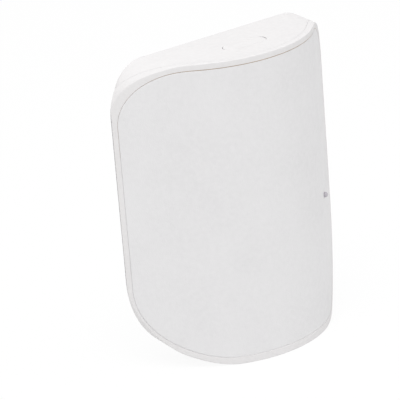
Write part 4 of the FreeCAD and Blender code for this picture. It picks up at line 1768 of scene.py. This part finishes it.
@dataclass(frozen=True)
class Studio:
    """The camera, the lamps and the pale floor.

    Angles are in radians, and the distance and the target in millimetres. Each lamp has its
    name, its place and the length of its sides in metres, and its power in watts.
    """

    azimuth: float = -0.6771
    elevation: float = 0.3412
    roll: float = -0.0789
    distance: float = 824.0
    lens: float = 228.5
    sensor_width: float = 36.0
    shift: tuple[float, float] = (-0.0591, -0.0404)
    clip_start: float = 0.01
    target: tuple[float, float, float] = (0.0, 13.35, 50.5)
    lamps: tuple[tuple[str, tuple[float, float, float], float, float], ...] = (
        ("key", (-0.35, -0.35, 1.3), 0.8, 10.3), ("fill", (0.9, -0.7, 0.5), 0.9, 1.2))
    world_light: float = 0.74
    floor_reach: float = 6.0
    floor_grey: float = 0.86
    floor_rough: float = 0.9
    floor_glow: float = 0.93

    def camera(self) -> None:
        """Places the camera at the photograph's angle."""
        away = Vector((sin(self.azimuth) * cos(self.elevation),
                       -cos(self.azimuth) * cos(self.elevation),
                       sin(self.elevation)))
        right = Vector((cos(self.azimuth), sin(self.azimuth), 0))
        up = away.cross(right)
        across = cos(self.roll) * right + sin(self.roll) * up
        over = cos(self.roll) * up - sin(self.roll) * right
        place = (Vector(self.target) + away * self.distance) * MM
        data = bpy.data.cameras.new("camera")
        data.lens = self.lens
        data.sensor_width = self.sensor_width
        data.shift_x, data.shift_y = self.shift
        data.clip_start = self.clip_start
        camera = put("camera", data)
        camera.matrix_world = Matrix.Translation(place) @ Matrix(
            (across, over, away)).transposed().to_4x4()
        bpy.context.scene.camera = camera

    def lamp(self, name: str, place: tuple[float, float, float], size: float,
             power: float) -> None:
        """A square soft lamp that faces the case's middle.

        Args:
            name: its name.
            place: where it stands, in metres.
            size: the length of its sides, in metres.
            power: its power in watts.
        """
        data = bpy.data.lights.new(name, "AREA")
        data.size = size
        data.energy = power
        lamp = put(name, data)
        aim = Vector(self.target) * MM - Vector(place)
        lamp.matrix_world = (Matrix.Translation(place)
                             @ aim.to_track_quat("-Z", "Y").to_matrix().to_4x4())

    def lights(self) -> None:
        """A high soft key, a wide fill and an even pale world."""
        for lamp in self.lamps:
            self.lamp(*lamp)
        world = bpy.data.worlds.new("pale_room")
        world.use_nodes = True
        tree, white = world.node_tree, (1, 1, 1, 1)
        plain = tree.nodes["Background"]
        fill(plain, {"Color": white, "Strength": self.world_light})
        shown = add_node(tree, "Background", {"Color": white, "Strength": 1.0})
        mix = add_node(tree, "MixShader", {"Fac": self._seen(tree),
                                           1: plain.outputs["Background"], 2: shown})
        fill(tree.nodes["World Output"], {"Surface": mix})
        bpy.context.scene.world = world

    @staticmethod
    def _seen(tree: NodeTree) -> NodeSocket:
        """A mask that is 1 for rays from the camera, off gloss or through glass.

        Args:
            tree: the node tree that takes its nodes.

        Returns:
            The mask's socket.
        """
        path = tree.nodes.new("ShaderNodeLightPath").outputs
        seen = path["Is Camera Ray"]
        for ray in ("Is Glossy Ray", "Is Transmission Ray"):
            seen = add_node(tree, "Math", {0: seen, 1: path[ray]}, operation="MAXIMUM")
        return seen

    def floor(self) -> None:
        """A wide pale floor that the case stands on."""
        bm = bmesh.new()
        bmesh.ops.create_grid(bm, x_segments=1, y_segments=1, size=self.floor_reach)
        floor = put("floor", mesh_of("floor", bm))
        material = bpy.data.materials.new("pale_floor")
        material.use_nodes = True
        tree = material.node_tree
        shader = tree.nodes["Principled BSDF"]
        fill(shader, {"Base Color": (*[self.floor_grey] * 3, 1), "Roughness": self.floor_rough})
        glow = add_node(tree, "Emission", {"Strength": 1.0})
        faint = add_node(tree, "Math", {0: self._seen(tree), 1: self.floor_glow},
                         operation="MULTIPLY")
        mix = add_node(tree, "MixShader", {"Fac": faint, 1: shader.outputs["BSDF"], 2: glow})
        fill(tree.nodes["Material Output"], {"Surface": mix})
        floor.data.materials.append(material)


def main() -> None:
    """Loads the frame, dresses it and sets the stage."""
    logging.basicConfig(level=logging.INFO, format="%(name)s %(message)s")
    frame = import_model()
    studio = Studio()
    studio.camera()
    shop = Workshop({finish.slot: finish.material() for finish in FINISHES})
    dress_solids(frame, shop.finishes)
    form = CaseForm()
    bezel, guide, door = Bezel(), LightGuide(), BatteryDoor()
    button, housing = PushButton(), Housing()
    bezel.build(form, shop)
    Window().build(form, guide, shop)
    guide.build(shop)
    housing.build(form, door, button, bezel.tabs, shop)
    door.build(shop)
    button.build(shop)
    WallBracket().build(shop)
    Cells().build(shop)
    BoardFittings().build(housing, shop)
    studio.lights()
    studio.floor()
    bpy.context.scene.view_settings.view_transform = "Standard"


if __name__ == "__main__":
    main()
